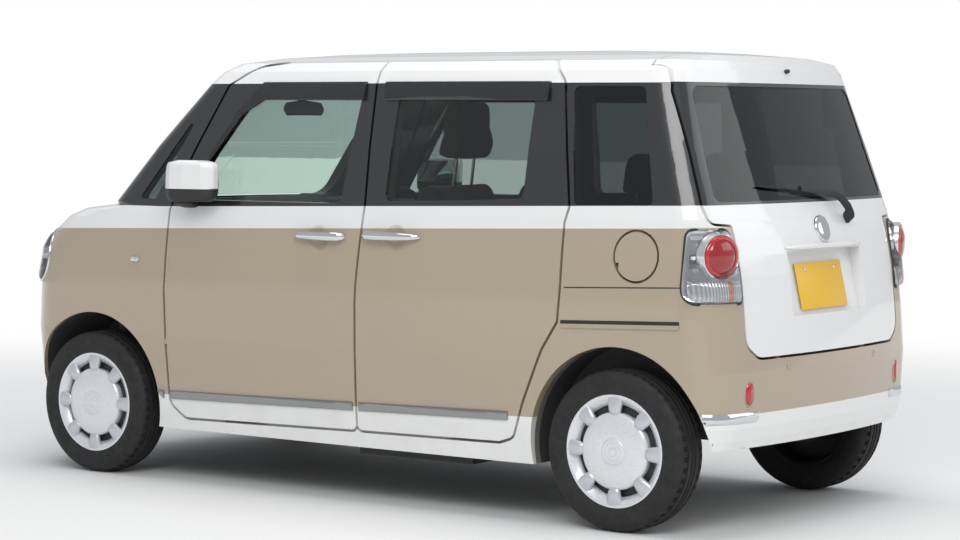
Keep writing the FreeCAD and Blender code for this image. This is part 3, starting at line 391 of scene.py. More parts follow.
def outline(bm, corners, radius, segments=5):
    """A flat face with rounded corners. A corner is (x, y, z)."""
    verts = [bm.verts.new(c) for c in corners]
    bm.faces.new(verts)
    if radius:
        round_off(bm, verts, radius, segments, "VERTICES")


def slice_up(bm, axes, step):
    """Cuts all faces at even steps along axes, so that they can follow a curved surface."""
    for axis in axes:
        normal = Vector([1.0 if i == axis else 0.0 for i in range(3)])
        values = [v.co[axis] for v in bm.verts]
        low, high = min(values), max(values)
        count = int((high - low) / step)
        for index in range(1, count + 1):
            place = normal * (low + (high - low) * index / (count + 1))
            bmesh.ops.bisect_plane(bm, geom=bm.verts[:] + bm.edges[:] + bm.faces[:], dist=1e-6,
                                   plane_co=place, plane_no=normal)


def thicken(bm, direction, depth, edge=0.0):
    """Gives a sheet of faces a wall by extruding it along a direction."""
    moved = raised(bm, bm.faces[:])
    bmesh.ops.translate(bm, verts=moved, vec=Vector(direction).normalized() * depth)
    face_outwards(bm)
    if edge:
        top = set(moved)
        rim = [e for e in bm.edges if all(v in top for v in e.verts)
               and any(not all(v in top for v in f.verts) for f in e.link_faces)]
        round_off(bm, rim, edge, 2)


def skin_patch(name, corners, radius, tree, direction, lift, depth, material, body, edge, step):
    """A plate that follows the body: an outline laid on the surface and given a wall outwards."""
    bm = bmesh.new()
    outline(bm, corners, radius)
    bmesh.ops.triangulate(bm, faces=bm.faces[:])
    slice_up(bm, (0, 1, 2), step)
    lay_on(bm, tree, direction, lift)
    thicken(bm, -Vector(direction), depth, edge)
    return finish_piece(name, bm, material, body)


def lathe(bm, profile, centre, axis, steps):
    """Spins an open profile of (distance along the axis, radius) about the axis."""
    axis = Vector(axis).normalized()
    across = axis.orthogonal().normalized()
    made = []
    for along, radius in profile:
        made.append(bm.verts.new(Vector(centre) + axis * along + across * radius))
    edges = [bm.edges.new(pair) for pair in zip(made, made[1:])]
    bmesh.ops.spin(bm, geom=made + edges, cent=centre, axis=axis, angle=math.tau, steps=steps, use_merge=True,
                   use_normal_flip=False)
    bmesh.ops.remove_doubles(bm, verts=bm.verts[:], dist=MERGE)
    face_outwards(bm)


def rounded_block(bm, low, high, bevel, segments=3):
    """A box between two corners with rounded edges."""
    low, high = Vector(low), Vector(high)
    size = high - low
    place = Matrix.Translation((low + high) / 2) @ Matrix.Diagonal((size.x, size.y, size.z, 1.0))
    made = bmesh.ops.create_cube(bm, size=1.0, matrix=place)["verts"]
    round_off(bm, list({e for v in made for e in v.link_edges}), bevel, segments)


def swept(bm, stations, sides=12, square=1.0):
    """A closed bar through stations of (centre, half width, half height, sideways, upwards)."""
    rings = []
    for centre, wide, high, sideways, upwards in stations:
        side, up = Vector(sideways).normalized(), Vector(upwards).normalized()
        ring = []
        for index in range(sides):
            turn = math.tau * index / sides
            c, s = math.cos(turn), math.sin(turn)
            c = math.copysign(abs(c) ** square, c)
            s = math.copysign(abs(s) ** square, s)
            ring.append(bm.verts.new(Vector(centre) + side * wide * c + up * high * s))
        edges = [bm.edges.new((ring[i], ring[(i + 1) % sides])) for i in range(sides)]
        rings.append(edges)
    for first, second in zip(rings, rings[1:]):
        bmesh.ops.bridge_loops(bm, edges=first + second)
    for edges in (rings[0], rings[-1]):
        bmesh.ops.contextual_create(bm, geom=edges)
    face_outwards(bm)


def round_corners(corners, steps=6):
    """A closed loop of (u, v) points from corners of (u, v, radius)."""
    loop = []
    for index, (u, v, radius) in enumerate(corners):
        corner = Vector((u, v))
        before = Vector(corners[index - 1][:2]) - corner
        after = Vector(corners[(index + 1) % len(corners)][:2]) - corner
        half = before.angle(after) / 2
        reach = radius / math.tan(half)
        first, last = corner + before.normalized() * reach, corner + after.normalized() * reach
        for step in range(steps + 1):
            share = step / steps
            loop.append(first * (1 - share) ** 2 + corner * 2 * share * (1 - share) + last * share ** 2)
    return loop


def round_a_corner(tree, pivot, side, start, end, length):
    """Places over a body corner: u metres round an upright axis, between two bearings, at height v."""
    def place(u, v, lift):
        turn = math.radians(start + (end - start) * u / length)
        outward = Vector((math.cos(turn), side * math.sin(turn), 0.0))
        base = Vector((pivot[0], side * pivot[1], v))
        hit = tree.ray_cast(base + outward, -outward, 1.0)[0] or base + outward * BARE_REACH
        return hit + outward * lift
    return place


def distance_to_segment(point, first, last):
    nearest, share = geometry.intersect_point_line(point, first, last)
    if 0 <= share <= 1:
        return (nearest.to_2d() - point).length
    return min((first - point).length, (last - point).length)


def mapped_patch(name, loop, place, lift, depth, soft, material, body, step=0.012):
    """A lens-like plate over a surface: flat loop, sliced, then set in place with a softly rising face."""
    bm = bmesh.new()
    bm.faces.new([bm.verts.new((u, 0.0, v)) for u, v in loop])
    bmesh.ops.triangulate(bm, faces=bm.faces[:])
    slice_up(bm, (0, 2), step)
    for vertex in raised(bm, bm.faces[:]):
        vertex.co.y = 1.0
    pairs = [(a, b) for a, b in zip(loop, loop[1:] + loop[:1]) if (a - b).length > 1e-6]
    for vertex in bm.verts:
        flat = Vector((vertex.co.x, vertex.co.z))
        edge = min(distance_to_segment(flat, a, b) for a, b in pairs)
        rise = depth * math.sqrt(max(0.0, 1 - (1 - min(1.0, edge / soft)) ** 2)) if vertex.co.y > 0.5 else 0.0
        vertex.co = place(flat.x, flat.y, lift + rise)
    bmesh.ops.remove_doubles(bm, verts=bm.verts[:], dist=MERGE)
    face_outwards(bm)
    return finish_piece(name, bm, material, body, 50.0)


def rim_cord(name, loop, place, lift, radius, material):
    """A round cord along a closed loop on a surface."""
    stations = []
    for (u, v), (next_u, next_v) in zip(loop + loop[:1], loop[1:] + loop[:2]):
        here, ahead = place(u, v, lift), place(next_u, next_v, lift)
        outward = place(u, v, lift + 0.01) - here
        along = ahead - here
        if along.length < 1e-6:
            continue
        stations.append((here, radius, radius, outward, along.cross(outward)))
    bars(name, [stations], material, "body", 8)


def profile_block(bm, profile, low_y, high_y, bevel, segments=3):
    """A side-view outline drawn out across the car, with rounded edges."""
    verts = [bm.verts.new((x, low_y, z)) for x, z in profile]
    far = raised(bm, [bm.faces.new(verts)])
    bmesh.ops.translate(bm, verts=far, vec=(0, high_y - low_y, 0))
    round_off(bm, list({e for v in verts + far for e in v.link_edges}), bevel, segments)
    face_outwards(bm)


def turned(name, profiles, centre, axis, material, body, steps=40, smooth=50.0):
    """A piece spun from one or more profiles."""
    bm = bmesh.new()
    for profile in profiles:
        lathe(bm, profile, centre, axis, steps)
    return finish_piece(name, bm, material, body, smooth)


def bars(name, paths, material, body, sides=12, square=1.0, smooth=50.0):
    """One or more swept bars as one piece."""
    bm = bmesh.new()
    for stations in paths:
        swept(bm, stations, sides, square)
    return finish_piece(name, bm, material, body, smooth)


def blocks(name, boxes, material):
    """Rounded boxes fixed to the body as one piece, each (low, high, bevel, segments)."""
    bm = bmesh.new()
    for low, high, bevel, segments in boxes:
        rounded_block(bm, low, high, bevel, segments)
    return finish_piece(name, bm, material, "body", 40.0)


# Wheels: tyre with grooved tread, cover with eight lugs between vents

FRONT_AXLE_X = 1.2125
REAR_AXLE_X = -1.2425
AXLE_Z = 0.2785
TRACK_HALF = 0.6525
LUGS = 8
# Tread blocks are cut in the shoulder: beyond this radius and this far from the tyre's middle.
TREAD_RADIUS = 0.2735
SHOULDER = 0.041
# One face of the turned profile in degrees; every other one becomes a block.
BLOCK_PITCH = 3.75
COVER_OUT = 0.0675
TYRE_PROFILE = [
    (-0.06, 0.181), (-0.069, 0.196), (-0.076, 0.214), (-0.0775, 0.232), (-0.0755, 0.25),
    (-0.069, 0.264), (-0.06, 0.2735), (-0.05, 0.2765), (-0.0415, 0.2777), (-0.0395, 0.272),
    (-0.0335, 0.272), (-0.0315, 0.278), (-0.015, 0.2785), (-0.013, 0.2725), (-0.006, 0.2725),
    (-0.004, 0.2785),
]
TYRE_PROFILE = TYRE_PROFILE + [(-along, radius) for along, radius in reversed(TYRE_PROFILE)]
# Distances from the cover's rim plane, and radii.
COVER_RIM = [(-0.012, 0.1955), (0.0, 0.195), (0.0015, 0.19), (-0.002, 0.183), (-0.012, 0.17),
             (-0.02, 0.16), (-0.03, 0.158)]
COVER_MIDDLE = [(-0.03, 0.132), (-0.01, 0.134), (-0.003, 0.131), (0.0005, 0.124), (0.006, 0.095),
                (0.0095, 0.06), (0.0102, 0.05), (0.0085, 0.046), (0.0105, 0.043), (0.0125, 0.034),
                (0.011, 0.031), (0.0125, 0.028), (0.0135, 0.018), (0.0122, 0.016), (0.0135, 0.013),
                (0.0138, 0.0)]
# A lug's stations: radius, half width, half height, and how far it stands behind the rim plane.
LUG_STATIONS = [(0.121, 0.009, 0.004, -0.008), (0.126, 0.0175, 0.009, -0.006), (0.137, 0.0235, 0.013, -0.006),
                (0.152, 0.0265, 0.014, -0.007), (0.168, 0.0285, 0.012, -0.007), (0.182, 0.029, 0.007, -0.006),
                (0.191, 0.026, 0.002, -0.003)]
RIM_BARREL = [(-0.064, 0.1805), (-0.066, 0.187), (-0.06, 0.19), (-0.056, 0.178), (-0.04, 0.172),
              (0.0, 0.166), (0.03, 0.166), (0.04, 0.15), (0.034, 0.1), (0.034, 0.06),
              (0.02, 0.052), (-0.02, 0.05), (-0.02, 0.0)]
RIM_FLANGE = [(0.055, 0.1785), (0.06, 0.19), (0.056, 0.1945), (0.048, 0.178), (0.03, 0.166)]


def make_tyre(name, x, side, body, node):
    bm = bmesh.new()
    centre = Vector((x, side * TRACK_HALF, AXLE_Z))
    lathe(bm, TYRE_PROFILE, centre, (0, 1, 0), 96)
    chosen = []
    for face in bm.faces:
        middle = face.calc_center_median() - centre
        turn = round(math.degrees(math.atan2(middle.z, middle.x)) / BLOCK_PITCH + 0.25)
        if middle.xz.length > TREAD_RADIUS and abs(middle.y) > SHOULDER and turn % 2:
            chosen.append(face)
    bmesh.ops.inset_individual(bm, faces=chosen, thickness=0.0012, depth=-0.0035)
    piece = finish_piece(name, bm, "rubber", body, 40.0)
    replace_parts(piece, node)


def make_cover(name, x, side, body, node):
    """Cover: dished ring, vents round a domed middle, and a tongue-shaped lug over each land."""
    centre = Vector((x, side * TRACK_HALF, AXLE_Z))
    axis = (0, side, 0)
    profiles = [[(COVER_OUT + along, radius) for along, radius in profile]
                for profile in (COVER_RIM, COVER_MIDDLE)]
    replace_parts(turned(name, profiles, centre, axis, "silver", body, 96), node)
    paths = []
    for index in range(LUGS):
        turn = Matrix.Rotation(math.tau * index / LUGS, 3, "Y")
        paths.append([(centre + turn @ Vector((0, side * (COVER_OUT + lift), radius)), wide, high,
                       turn @ Vector((1, 0, 0)), axis) for radius, wide, high, lift in LUG_STATIONS])
    bars(name + "_lugs", paths, "lug", body, 14, 0.85, 60.0)
    turned(name + "_rim", (RIM_BARREL, RIM_FLANGE), centre, axis, "trim", body, 64, 40.0)


for end, x in (("front", FRONT_AXLE_X), ("rear", REAR_AXLE_X)):
    for side_name, side in SIDES:
        corner_name = "%s_%s" % (end, side_name)
        wheel_body = "wheel_" + corner_name
        make_tyre("road_tyre_" + corner_name, x, side, wheel_body, "tyre_" + corner_name)
        make_cover("cover_" + corner_name, x, side, wheel_body, wheel_body)


# Side trim

STRIP_HEIGHT = 0.368
STRIP_WIDTH = 0.032

for side_name, side in SIDES:
    inward = (0, -side, 0)
    for panel, body, x_front, x_rear in (
            ("fender_" + side_name, "body", 0.868, 0.835),
            ("front_door_" + side_name, "front_door_" + side_name, 0.8, -0.108),
            ("sliding_door_" + side_name, "body", -0.136, -0.8)):
        top_front, top_rear = (STRIP_HEIGHT - SKIRT_RISE * x for x in (x_front, x_rear))
        corners = [(x_front, side, top_front), (x_rear, side, top_rear),
                   (x_rear, side, top_rear - STRIP_WIDTH), (x_front, side, top_front - STRIP_WIDTH)]
        skin_patch("sill_strip_" + panel, corners, 0.003, surface(panel), inward, 0.0003, 0.007, "strip",
                   body, 0.0025, 0.1)

# Door handles over their dished recesses: share of the length, half width, half height, distance out
HANDLE_STATIONS = [(0.0, 0.006, 0.006, 0.006), (0.03, 0.009, 0.012, 0.018), (0.12, 0.01, 0.0155, 0.03),
                   (0.3, 0.01, 0.016, 0.034), (0.6, 0.009, 0.0145, 0.035), (0.85, 0.008, 0.0115, 0.03),
                   (0.96, 0.006, 0.008, 0.02), (1.0, 0.004, 0.004, 0.006)]
# The door's surface is found above the recess.
ABOVE_RECESS = 0.06
for side_name, side in SIDES:
    for label, body, panel, x_thick, x_thin, z in (
            ("front", "front_door_" + side_name, "front_door_" + side_name, -0.0735, 0.1675, 0.972),
            ("rear", "body", "sliding_door_" + side_name, -0.1515, -0.4165, 0.981)):
        above = Vector(((x_thick + x_thin) / 2, side * 2.0, z + ABOVE_RECESS))
        y = surface(panel).ray_cast(above, Vector((0, -side, 0)))[0].y
        path = [((x_thick + (x_thin - x_thick) * share, y + side * out, z), wide, high, (0, 1, 0), (0, 0, 1))
                for share, wide, high, out in HANDLE_STATIONS]
        bars("handle_%s_%s" % (label, side_name), [path], "chrome", body, 16, 0.8)


# Seats: padded cushions, backs and head restraints

CLOTH_FRAMES = 20
CLOTH_PRESSURE = 4.0
# A cord's place is looked for from this far before the cushion.
SEAM_START = 0.4


def baked(piece):
    """Applies a piece's modifiers to its mesh."""
    graph = bpy.context.evaluated_depsgraph_get()
    piece.data = bpy.data.meshes.new_from_object(piece.evaluated_get(graph))
    piece.modifiers.clear()
    return piece.data


def padded(name, bm, node, cap=0.012, voxel=0.012):
    """A cushion blown up as cloth from a slightly smaller block; no point moves further than the cap."""
    piece = add_object(name, bm)
    remesh = piece.modifiers.new("even", "REMESH")
    remesh.mode = "VOXEL"
    remesh.voxel_size = voxel
    rest = [v.co.copy() for v in baked(piece).vertices]
    swell = piece.modifiers.new("swell", "CLOTH")
    swell.settings.use_pressure = True
    swell.settings.uniform_pressure_force = CLOTH_PRESSURE
    swell.settings.effector_weights.gravity = 0.0
    swell.point_cache.frame_start = 1
    swell.point_cache.frame_end = CLOTH_FRAMES
    for number in range(1, CLOTH_FRAMES + 1):
        scene.frame_set(number)
    for vertex, start in zip(baked(piece).vertices, rest):
        move = vertex.co - start
        if move.length > cap:
            vertex.co = start + move.normalized() * cap
    scene.frame_set(1)
    piece.data.materials.append(MATERIALS["seat"])
    piece.data.shade_smooth()
    rounding = piece.modifiers.new("round", "SUBSURF")
    rounding.levels = rounding.render_levels = 1
    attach(piece, "body")
    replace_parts(piece, node)
    return piece


def cushion(name, node, profile, middle, half, taper, bevel=0.028):
    """A cushion from its side view; the taper narrows it towards its top."""
    bm = bmesh.new()
    profile_block(bm, profile, -half, half, bevel)
    low = min(z for x, z in profile)
    high = max(z for x, z in profile)
    for vertex in bm.verts:
        share = (vertex.co.z - low) / (high - low)
        vertex.co.y = middle + vertex.co.y * (1 - taper * share)
    return padded(name, bm, node)


def seam(name, piece, ends, direction, radius=0.002, steps=13):
    """Piping sewn on a cushion: a cord laid on it between two points, seen along a direction."""
    tree = BVHTree.FromObject(piece, bpy.context.evaluated_depsgraph_get())
    towards = Vector(direction).normalized()
    first, last = (Vector(end) for end in ends)
    stations = []
    for step in range(steps + 1):
        start = first.lerp(last, step / steps) - towards * SEAM_START
        hit = tree.ray_cast(start, towards)[0]
        if hit is not None:
            stations.append((hit, radius, radius, towards.cross(last - first), towards))
    bars(name, [stations], "piping", "body", 8, smooth=60.0)


def post_pair(name, y, spread, low, high, radius):
    """The two steel posts of a head restraint, between an (x, z) low and high end."""
    paths = [[((x, y + post, z), radius, radius, (1, 0, 0), (0, 1, 0)) for x, z in (low, high)]
             for post in (-spread, spread)]
    bars(name, paths, "chrome", "body")


# Side views of the cushions, as (x, z)
FRONT_CUSHION = [(0.318, 0.44), (0.333, 0.522), (0.3, 0.548), (0.1, 0.552), (-0.085, 0.54),
                 (-0.112, 0.5), (-0.1, 0.43), (0.18, 0.415)]
FRONT_BACK = [(-0.1, 0.58), (-0.152, 0.83), (-0.226, 1.12), (-0.245, 1.165), (-0.298, 1.175),
              (-0.332, 1.125), (-0.262, 0.72), (-0.225, 0.58)]
FRONT_HEAD = [(-0.268, 1.262), (-0.28, 1.43), (-0.312, 1.474), (-0.362, 1.464), (-0.372, 1.31),
              (-0.345, 1.256)]
REAR_CUSHION = [(-0.492, 0.455), (-0.486, 0.56), (-0.52, 0.584), (-0.8, 0.586), (-0.835, 0.555),
                (-0.8, 0.45)]
REAR_BACK = [(-0.852, 0.62), (-0.912, 0.68), (-1.022, 1.065), (-1.045, 1.092), (-1.09, 1.096),
             (-1.084, 1.04), (-0.99, 0.62)]
REAR_HEAD = [(-1.03, 1.145), (-1.044, 1.262), (-1.068, 1.288), (-1.106, 1.28), (-1.112, 1.16),
             (-1.09, 1.14)]
FRONT_SEAT_Y, REAR_SEAT_Y = 0.32, 0.262
FLOOR_TOP = 0.2565
DOWN, FORWARD_TO_BACK = (0, 0, -1), (-1, 0, 0)

for side_name, side in SIDES:
    y = FRONT_SEAT_Y * side
    base = cushion("front_cushion_" + side_name, "front_seats", FRONT_CUSHION, y, 0.232, 0.0)
    back = cushion("front_back_" + side_name, "front_seats", FRONT_BACK, y, 0.228, 0.14)
    cushion("front_head_" + side_name, "front_seats", FRONT_HEAD, y, 0.125, 0.22, 0.022)
    for edge in (-0.15, 0.15):
        seam("front_cushion_seam_%s_%d" % (side_name, edge * 100), base,
             [(0.3, y + edge, 0.6), (-0.07, y + edge, 0.6)], DOWN)
        seam("front_back_seam_%s_%d" % (side_name, edge * 100), back,
             [(0.0, y + edge * 0.95, 0.62), (0.0, y + edge * 0.85, 1.13)], FORWARD_TO_BACK)
    seam("front_cross_seam_" + side_name, back, [(0.0, y - 0.128, 0.98), (0.0, y + 0.128, 0.98)],
         FORWARD_TO_BACK)
    post_pair("front_head_posts_" + side_name, y, 0.055, (-0.3, 1.15), (-0.318, 1.29), 0.006)
    blocks("front_seat_base_" + side_name,
           [((-0.138, y - 0.19, FLOOR_TOP), (0.198, y + 0.19, 0.425), 0.012, 3),
            ((-0.24, y - 0.2, 0.44), (-0.11, y - 0.18, 0.56), 0.004, 3)], "trim")

    y = REAR_SEAT_Y * side
    base = cushion("rear_cushion_" + side_name, "rear_seat", REAR_CUSHION, y, 0.242, 0.0)
    back = cushion("rear_back_" + side_name, "rear_seat", REAR_BACK, y, 0.242, 0.06)
    cushion("rear_head_" + side_name, "rear_seat", REAR_HEAD, y, 0.115, 0.15, 0.018)
    seam("rear_cushion_seam_" + side_name, base, [(-0.52, y, 0.65), (-0.8, y, 0.65)], DOWN)
    seam("rear_back_seam_" + side_name, back, [(0.0, y, 0.66), (0.0, y, 1.05)], FORWARD_TO_BACK)
    post_pair("rear_head_posts_" + side_name, y, 0.05, (-1.062, 1.075), (-1.07, 1.165), 0.0055)
    blocks("rear_seat_base_" + side_name,
           [((-0.738, y - 0.22, FLOOR_TOP), (-0.562, y + 0.22, 0.46), 0.012, 3)], "trim")


# Steering wheel: rim with thicker grips, three spokes and a hub

WHEEL_MIDDLE = Vector((0.455, -0.35, 0.955))
RIM_RADIUS = 0.176
COLUMN = Vector((-0.9063, 0.0, 0.4226))
UPRIGHT = Vector((0.4226, 0.0, 0.9063))


def spoke_at(turn):
    return Vector((0, 1, 0)) * math.cos(turn) + UPRIGHT * math.sin(turn)


rim_path = []
for index in range(49):
    turn = math.tau * index / 48
    grip = 0.0145 if math.cos(turn * 2 + 0.6) > 0.2 else 0.013
    rim_path.append((WHEEL_MIDDLE + spoke_at(turn) * RIM_RADIUS, grip, 0.0135, spoke_at(turn), COLUMN))
rim = bars("steering_rim", [rim_path], "dash", "steering_wheel", 14)
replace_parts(rim, "steering_wheel")
bm = bmesh.new()
for turn, wide in ((0.1, 0.02), (math.pi - 0.1, 0.02), (-math.pi / 2, 0.026)):
    spoke = spoke_at(turn)
    across = COLUMN.cross(spoke)
    swept(bm, [(WHEEL_MIDDLE + spoke * 0.035 - COLUMN * 0.012, wide * 1.5, 0.01, across, COLUMN),
               (WHEEL_MIDDLE + spoke * 0.09 - COLUMN * 0.006, wide, 0.007, across, COLUMN),
               (WHEEL_MIDDLE + spoke * 0.166, wide * 0.8, 0.006, across, COLUMN)], 14, 0.7)
lathe(bm, [(-0.03, 0.046), (-0.004, 0.055), (0.004, 0.05), (0.008, 0.036), (0.009, 0.0)], WHEEL_MIDDLE,
      COLUMN, 40)
finish_piece("steering_hub", bm, "dash", "steering_wheel", 40.0)


# Dashboard details

blocks("instrument_hood", [((0.655, -0.52, 1.0), (0.8, -0.18, 1.078), 0.022, 4)], "dash")
blocks("instrument_screens", [((0.648, -0.5, 1.012), (0.66, -0.2, 1.066), 0.004, 2),
                              ((0.64, -0.115, 0.885), (0.662, 0.115, 1.005), 0.006, 2)],
       "black")
vents = []
VENT_Z = 0.955
for y in (-0.6, -0.17, 0.17, 0.6):
    vents.append(((0.64, y - 0.04, VENT_Z - 0.028), (0.672, y + 0.04, VENT_Z + 0.028), 0.008, 3))
    for z in (VENT_Z - 0.014, VENT_Z, VENT_Z + 0.014):
        vents.append(((0.634, y - 0.032, z - 0.002), (0.644, y + 0.032, z + 0.002), 0.001, 1))
blocks("air_vents", vents, "trim")
bm = bmesh.new()
rounded_block(bm, (0.59, -0.085, 0.79), (0.68, 0.085, 0.875), 0.015, 3)
swept(bm, [((x, 0.0, z), wide, high, (0, 1, 0), (1, 0, 1)) for x, z, wide, high in (
    (0.6, 0.85, 0.006, 0.006), (0.56, 0.905, 0.006, 0.006), (0.55, 0.918, 0.02, 0.014),
    (0.525, 0.95, 0.018, 0.014))], 14, 0.8)
finish_piece("shift_lever", bm, "trim", "body", 40.0)
blocks("glove_box", [((0.646, 0.16, 0.76), (0.7, 0.58, 0.88), 0.014, 3)], "pale")
bm = bmesh.new()
swept(bm, [((0.735, y, 1.44 + 0.004 * math.cos(y * 20)), 0.01, high, (1, 0, 0.3), (0, 0, 1))
           for y, high in ((-0.115, 0.012), (-0.105, 0.026), (0.0, 0.031), (0.105, 0.026), (0.115, 0.012))],
      16, 0.7)
swept(bm, [((0.745, 0.0, 1.45), 0.007, 0.007, (0, 1, 0), (1, 0, 0)),
           ((0.77, 0.0, 1.495), 0.01, 0.01, (0, 1, 0), (1, 0, 0))], 12)
finish_piece("inner_mirror", bm, "trim", "body", 40.0)


# Dark visors over the side windows
FRONT_VISOR = [(-0.1, 1.538), (0.395, 1.538), (0.5, 1.44), (0.655, 1.215), (0.64, 1.215),
               (0.48, 1.42), (0.385, 1.47), (-0.1, 1.47)]
REAR_VISOR = [(-0.19, 1.538), (-0.915, 1.538), (-0.915, 1.47), (-0.19, 1.47)]
for side_name, side in SIDES:
    for label, shape, radius, body, tree in (
            ("front", FRONT_VISOR, 0.0, "front_door_" + side_name,
             surface("front_door_" + side_name, "front_door_glass_" + side_name)),
            ("rear", REAR_VISOR, 0.006, "body",
             surface("sliding_door_" + side_name, "sliding_door_glasses"))):
        skin_patch("visor_%s_%s" % (label, side_name), [(x, side, z) for x, z in shape], radius, tree,
                   (0, -side, 0), 0.002, 0.012, "black", body, 0.003, 0.06)

# Slide rail cover with a dark strip painted as the shade in its groove, a dark line painted as the shade in
# the quarter panel's crease, and side marker lamps
for side_name, side in SIDES:
    inward = (0, -side, 0)
    flank = surface("body_side_" + side_name, "rear_bumper")
    # The first strip is dark, painted as the shade in the rail's groove above the beige lip.
    for label, low, high, depth, finish_name in (
            ("groove_shade", 0.7045, 0.7165, 0.0012, "trim"), ("lip", 0.69, 0.7045, 0.005, "beige")):
        corners = [(-1.024, side, low), (-1.497, side, low + 0.016), (-1.497, side, high + 0.016),
                   (-1.024, side, high)]
        skin_patch("rail_%s_%s" % (label, side_name), corners, 0.003, flank, inward, 0.0004, depth,
                   finish_name, "body", 0.0004, 0.05)
    # A thin dark line painted as the shade in the quarter panel's crease; no groove is cut.
    crease_shade_line = [(-1.035, side, 0.827), (-1.497, side, 0.844), (-1.497, side, 0.848), (-1.035, side, 0.831)]
    skin_patch("quarter_crease_shade_" + side_name, crease_shade_line, 0.0005, flank, inward, 0.0002, 0.0006, "trim", "body",
               0.0001, 0.05)
    marker = [(0.958, side, 0.843), (1.003, side, 0.843), (1.003, side, 0.863), (0.958, side, 0.863)]
    skin_patch("side_marker_" + side_name, marker, 0.0095, surface("fender_" + side_name), inward, 0.0004,
               0.007, "reflector", "body", 0.003, 0.02)

# Door mirrors, folded back against the windows: white shell over a black base
MIRROR_LOW, MIRROR_SPLIT, MIRROR_HIGH = 1.086, 1.134, 1.242
MIRROR_MIDDLE = Vector((0.635, 0.795))
MIRROR_PLAN = round_corners(
    [(0.515, 0.752, 0.018), (0.52, 0.792, 0.018), (0.56, 0.818, 0.018), (0.64, 0.836, 0.018),
     (0.7, 0.838, 0.016), (0.74, 0.815, 0.016), (0.752, 0.775, 0.016), (0.735, 0.752, 0.016),
     (0.62, 0.746, 0.016)], 4)
MIRROR_FOOT = [(0.7, 0.7035, 1.072, 0.034, 0.014), (0.7, 0.735, 1.075, 0.034, 0.016),
               (0.695, 0.765, 1.082, 0.036, 0.018), (0.69, 0.79, 1.094, 0.038, 0.018)]
MIRROR_LAYERS = 12
# The share of the plan left at the shell's ends, that of its flat top, and its lean backwards per metre.
END_SHARE, TOP_SHARE, SHELL_LEAN = 0.7, 0.82, 0.05


def mirror_layer(bm, side, z, top, grow):
    """One plan section of the shell, smaller towards its bottom and top."""
    height = (z - MIRROR_LOW) / (MIRROR_HIGH - MIRROR_LOW)
    share = math.sqrt(max(0.0, 1 - abs(2 * height - 1) ** 5)) * (1 - END_SHARE) + END_SHARE
    if top:
        share *= TOP_SHARE
    lean = SHELL_LEAN * (z - MIRROR_SPLIT)
    layer = []
    for point in MIRROR_PLAN:
        x = MIRROR_MIDDLE.x + (point.x - MIRROR_MIDDLE.x) * share - lean
        y = MIRROR_MIDDLE.y + (point.y - MIRROR_MIDDLE.y) * (share + grow)
        layer.append(bm.verts.new((x, side * y, z)))
    return layer


for side_name, side in SIDES:
    body = "front_door_" + side_name
    for label, low, high, finish_name, grow in (
            ("cap", MIRROR_SPLIT, MIRROR_HIGH, "pearl", 0.0),
            ("base", MIRROR_LOW, MIRROR_SPLIT + 0.002, "trim", -0.002)):
        bm = bmesh.new()
        layers = []
        for step in range(MIRROR_LAYERS + 1):
            top = label == "cap" and step == MIRROR_LAYERS
            layers.append(mirror_layer(bm, side, low + (high - low) * step / MIRROR_LAYERS, top, grow))
        for first, second in zip(layers, layers[1:]):
            for index in range(len(first)):
                after = (index + 1) % len(first)
                bm.faces.new((first[index], first[after], second[after], second[index]))
        bm.faces.new(layers[0])
        bm.faces.new(layers[-1])
        face_outwards(bm)
        piece = finish_piece("mirror_%s_%s" % (label, side_name), bm, finish_name, body, 45.0)
        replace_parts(piece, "mirror_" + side_name)
    foot = [((x, side * y, z), wide, high, (1, 0, 0), (0, 0, 1)) for x, y, z, wide, high in MIRROR_FOOT]
    bars("mirror_foot_" + side_name, [foot], "trim", body, 20, 0.7, 40.0)
    bm = bmesh.new()
    outline(bm, [(0.525, side * 0.744, 1.135), (0.72, side * 0.744, 1.135), (0.72, side * 0.744, 1.225),
                 (0.545, side * 0.744, 1.225)], 0.025, 6)
    thicken(bm, (0, -side, 0), 0.003, 0.001)
    finish_piece("mirror_face_" + side_name, bm, "mirror", body, 40.0)

# Tail lamps: gasket, barrel with a red lens, ribbed lower part, clear cover.
# Loops are (distance round the corner, height, radius).
LAMP_LENGTH = 0.285
LAMP_PIVOT = (-1.53, 0.57)
LAMP_BEARINGS = (77.0, 189.5)
LAMP_LOOP = round_corners([(0.004, 1.04, 0.028), (0.281, 1.04, 0.08), (0.281, 0.793, 0.018),
                           (0.004, 0.793, 0.06)])
RIB_LOOP = round_corners([(0.022, 0.868, 0.006), (0.268, 0.868, 0.006), (0.268, 0.803, 0.01),
                          (0.03, 0.803, 0.036)])
REFLEX_LOOP = round_corners([(0.026, 0.958, 0.006), (0.11, 0.958, 0.006), (0.11, 0.912, 0.006),
                             (0.026, 0.912, 0.006)])
BARREL = [(-0.03, 0.0775), (0.002, 0.0775), (0.01, 0.0765), (0.012, 0.073), (0.009, 0.07)]
RED_RING = [(0.006, 0.0705), (0.014, 0.068), (0.017, 0.062), (0.016, 0.057)]
RED_LENS = [(0.014, 0.057), (0.02, 0.05), (0.025, 0.036), (0.028, 0.018), (0.029, 0.0)]
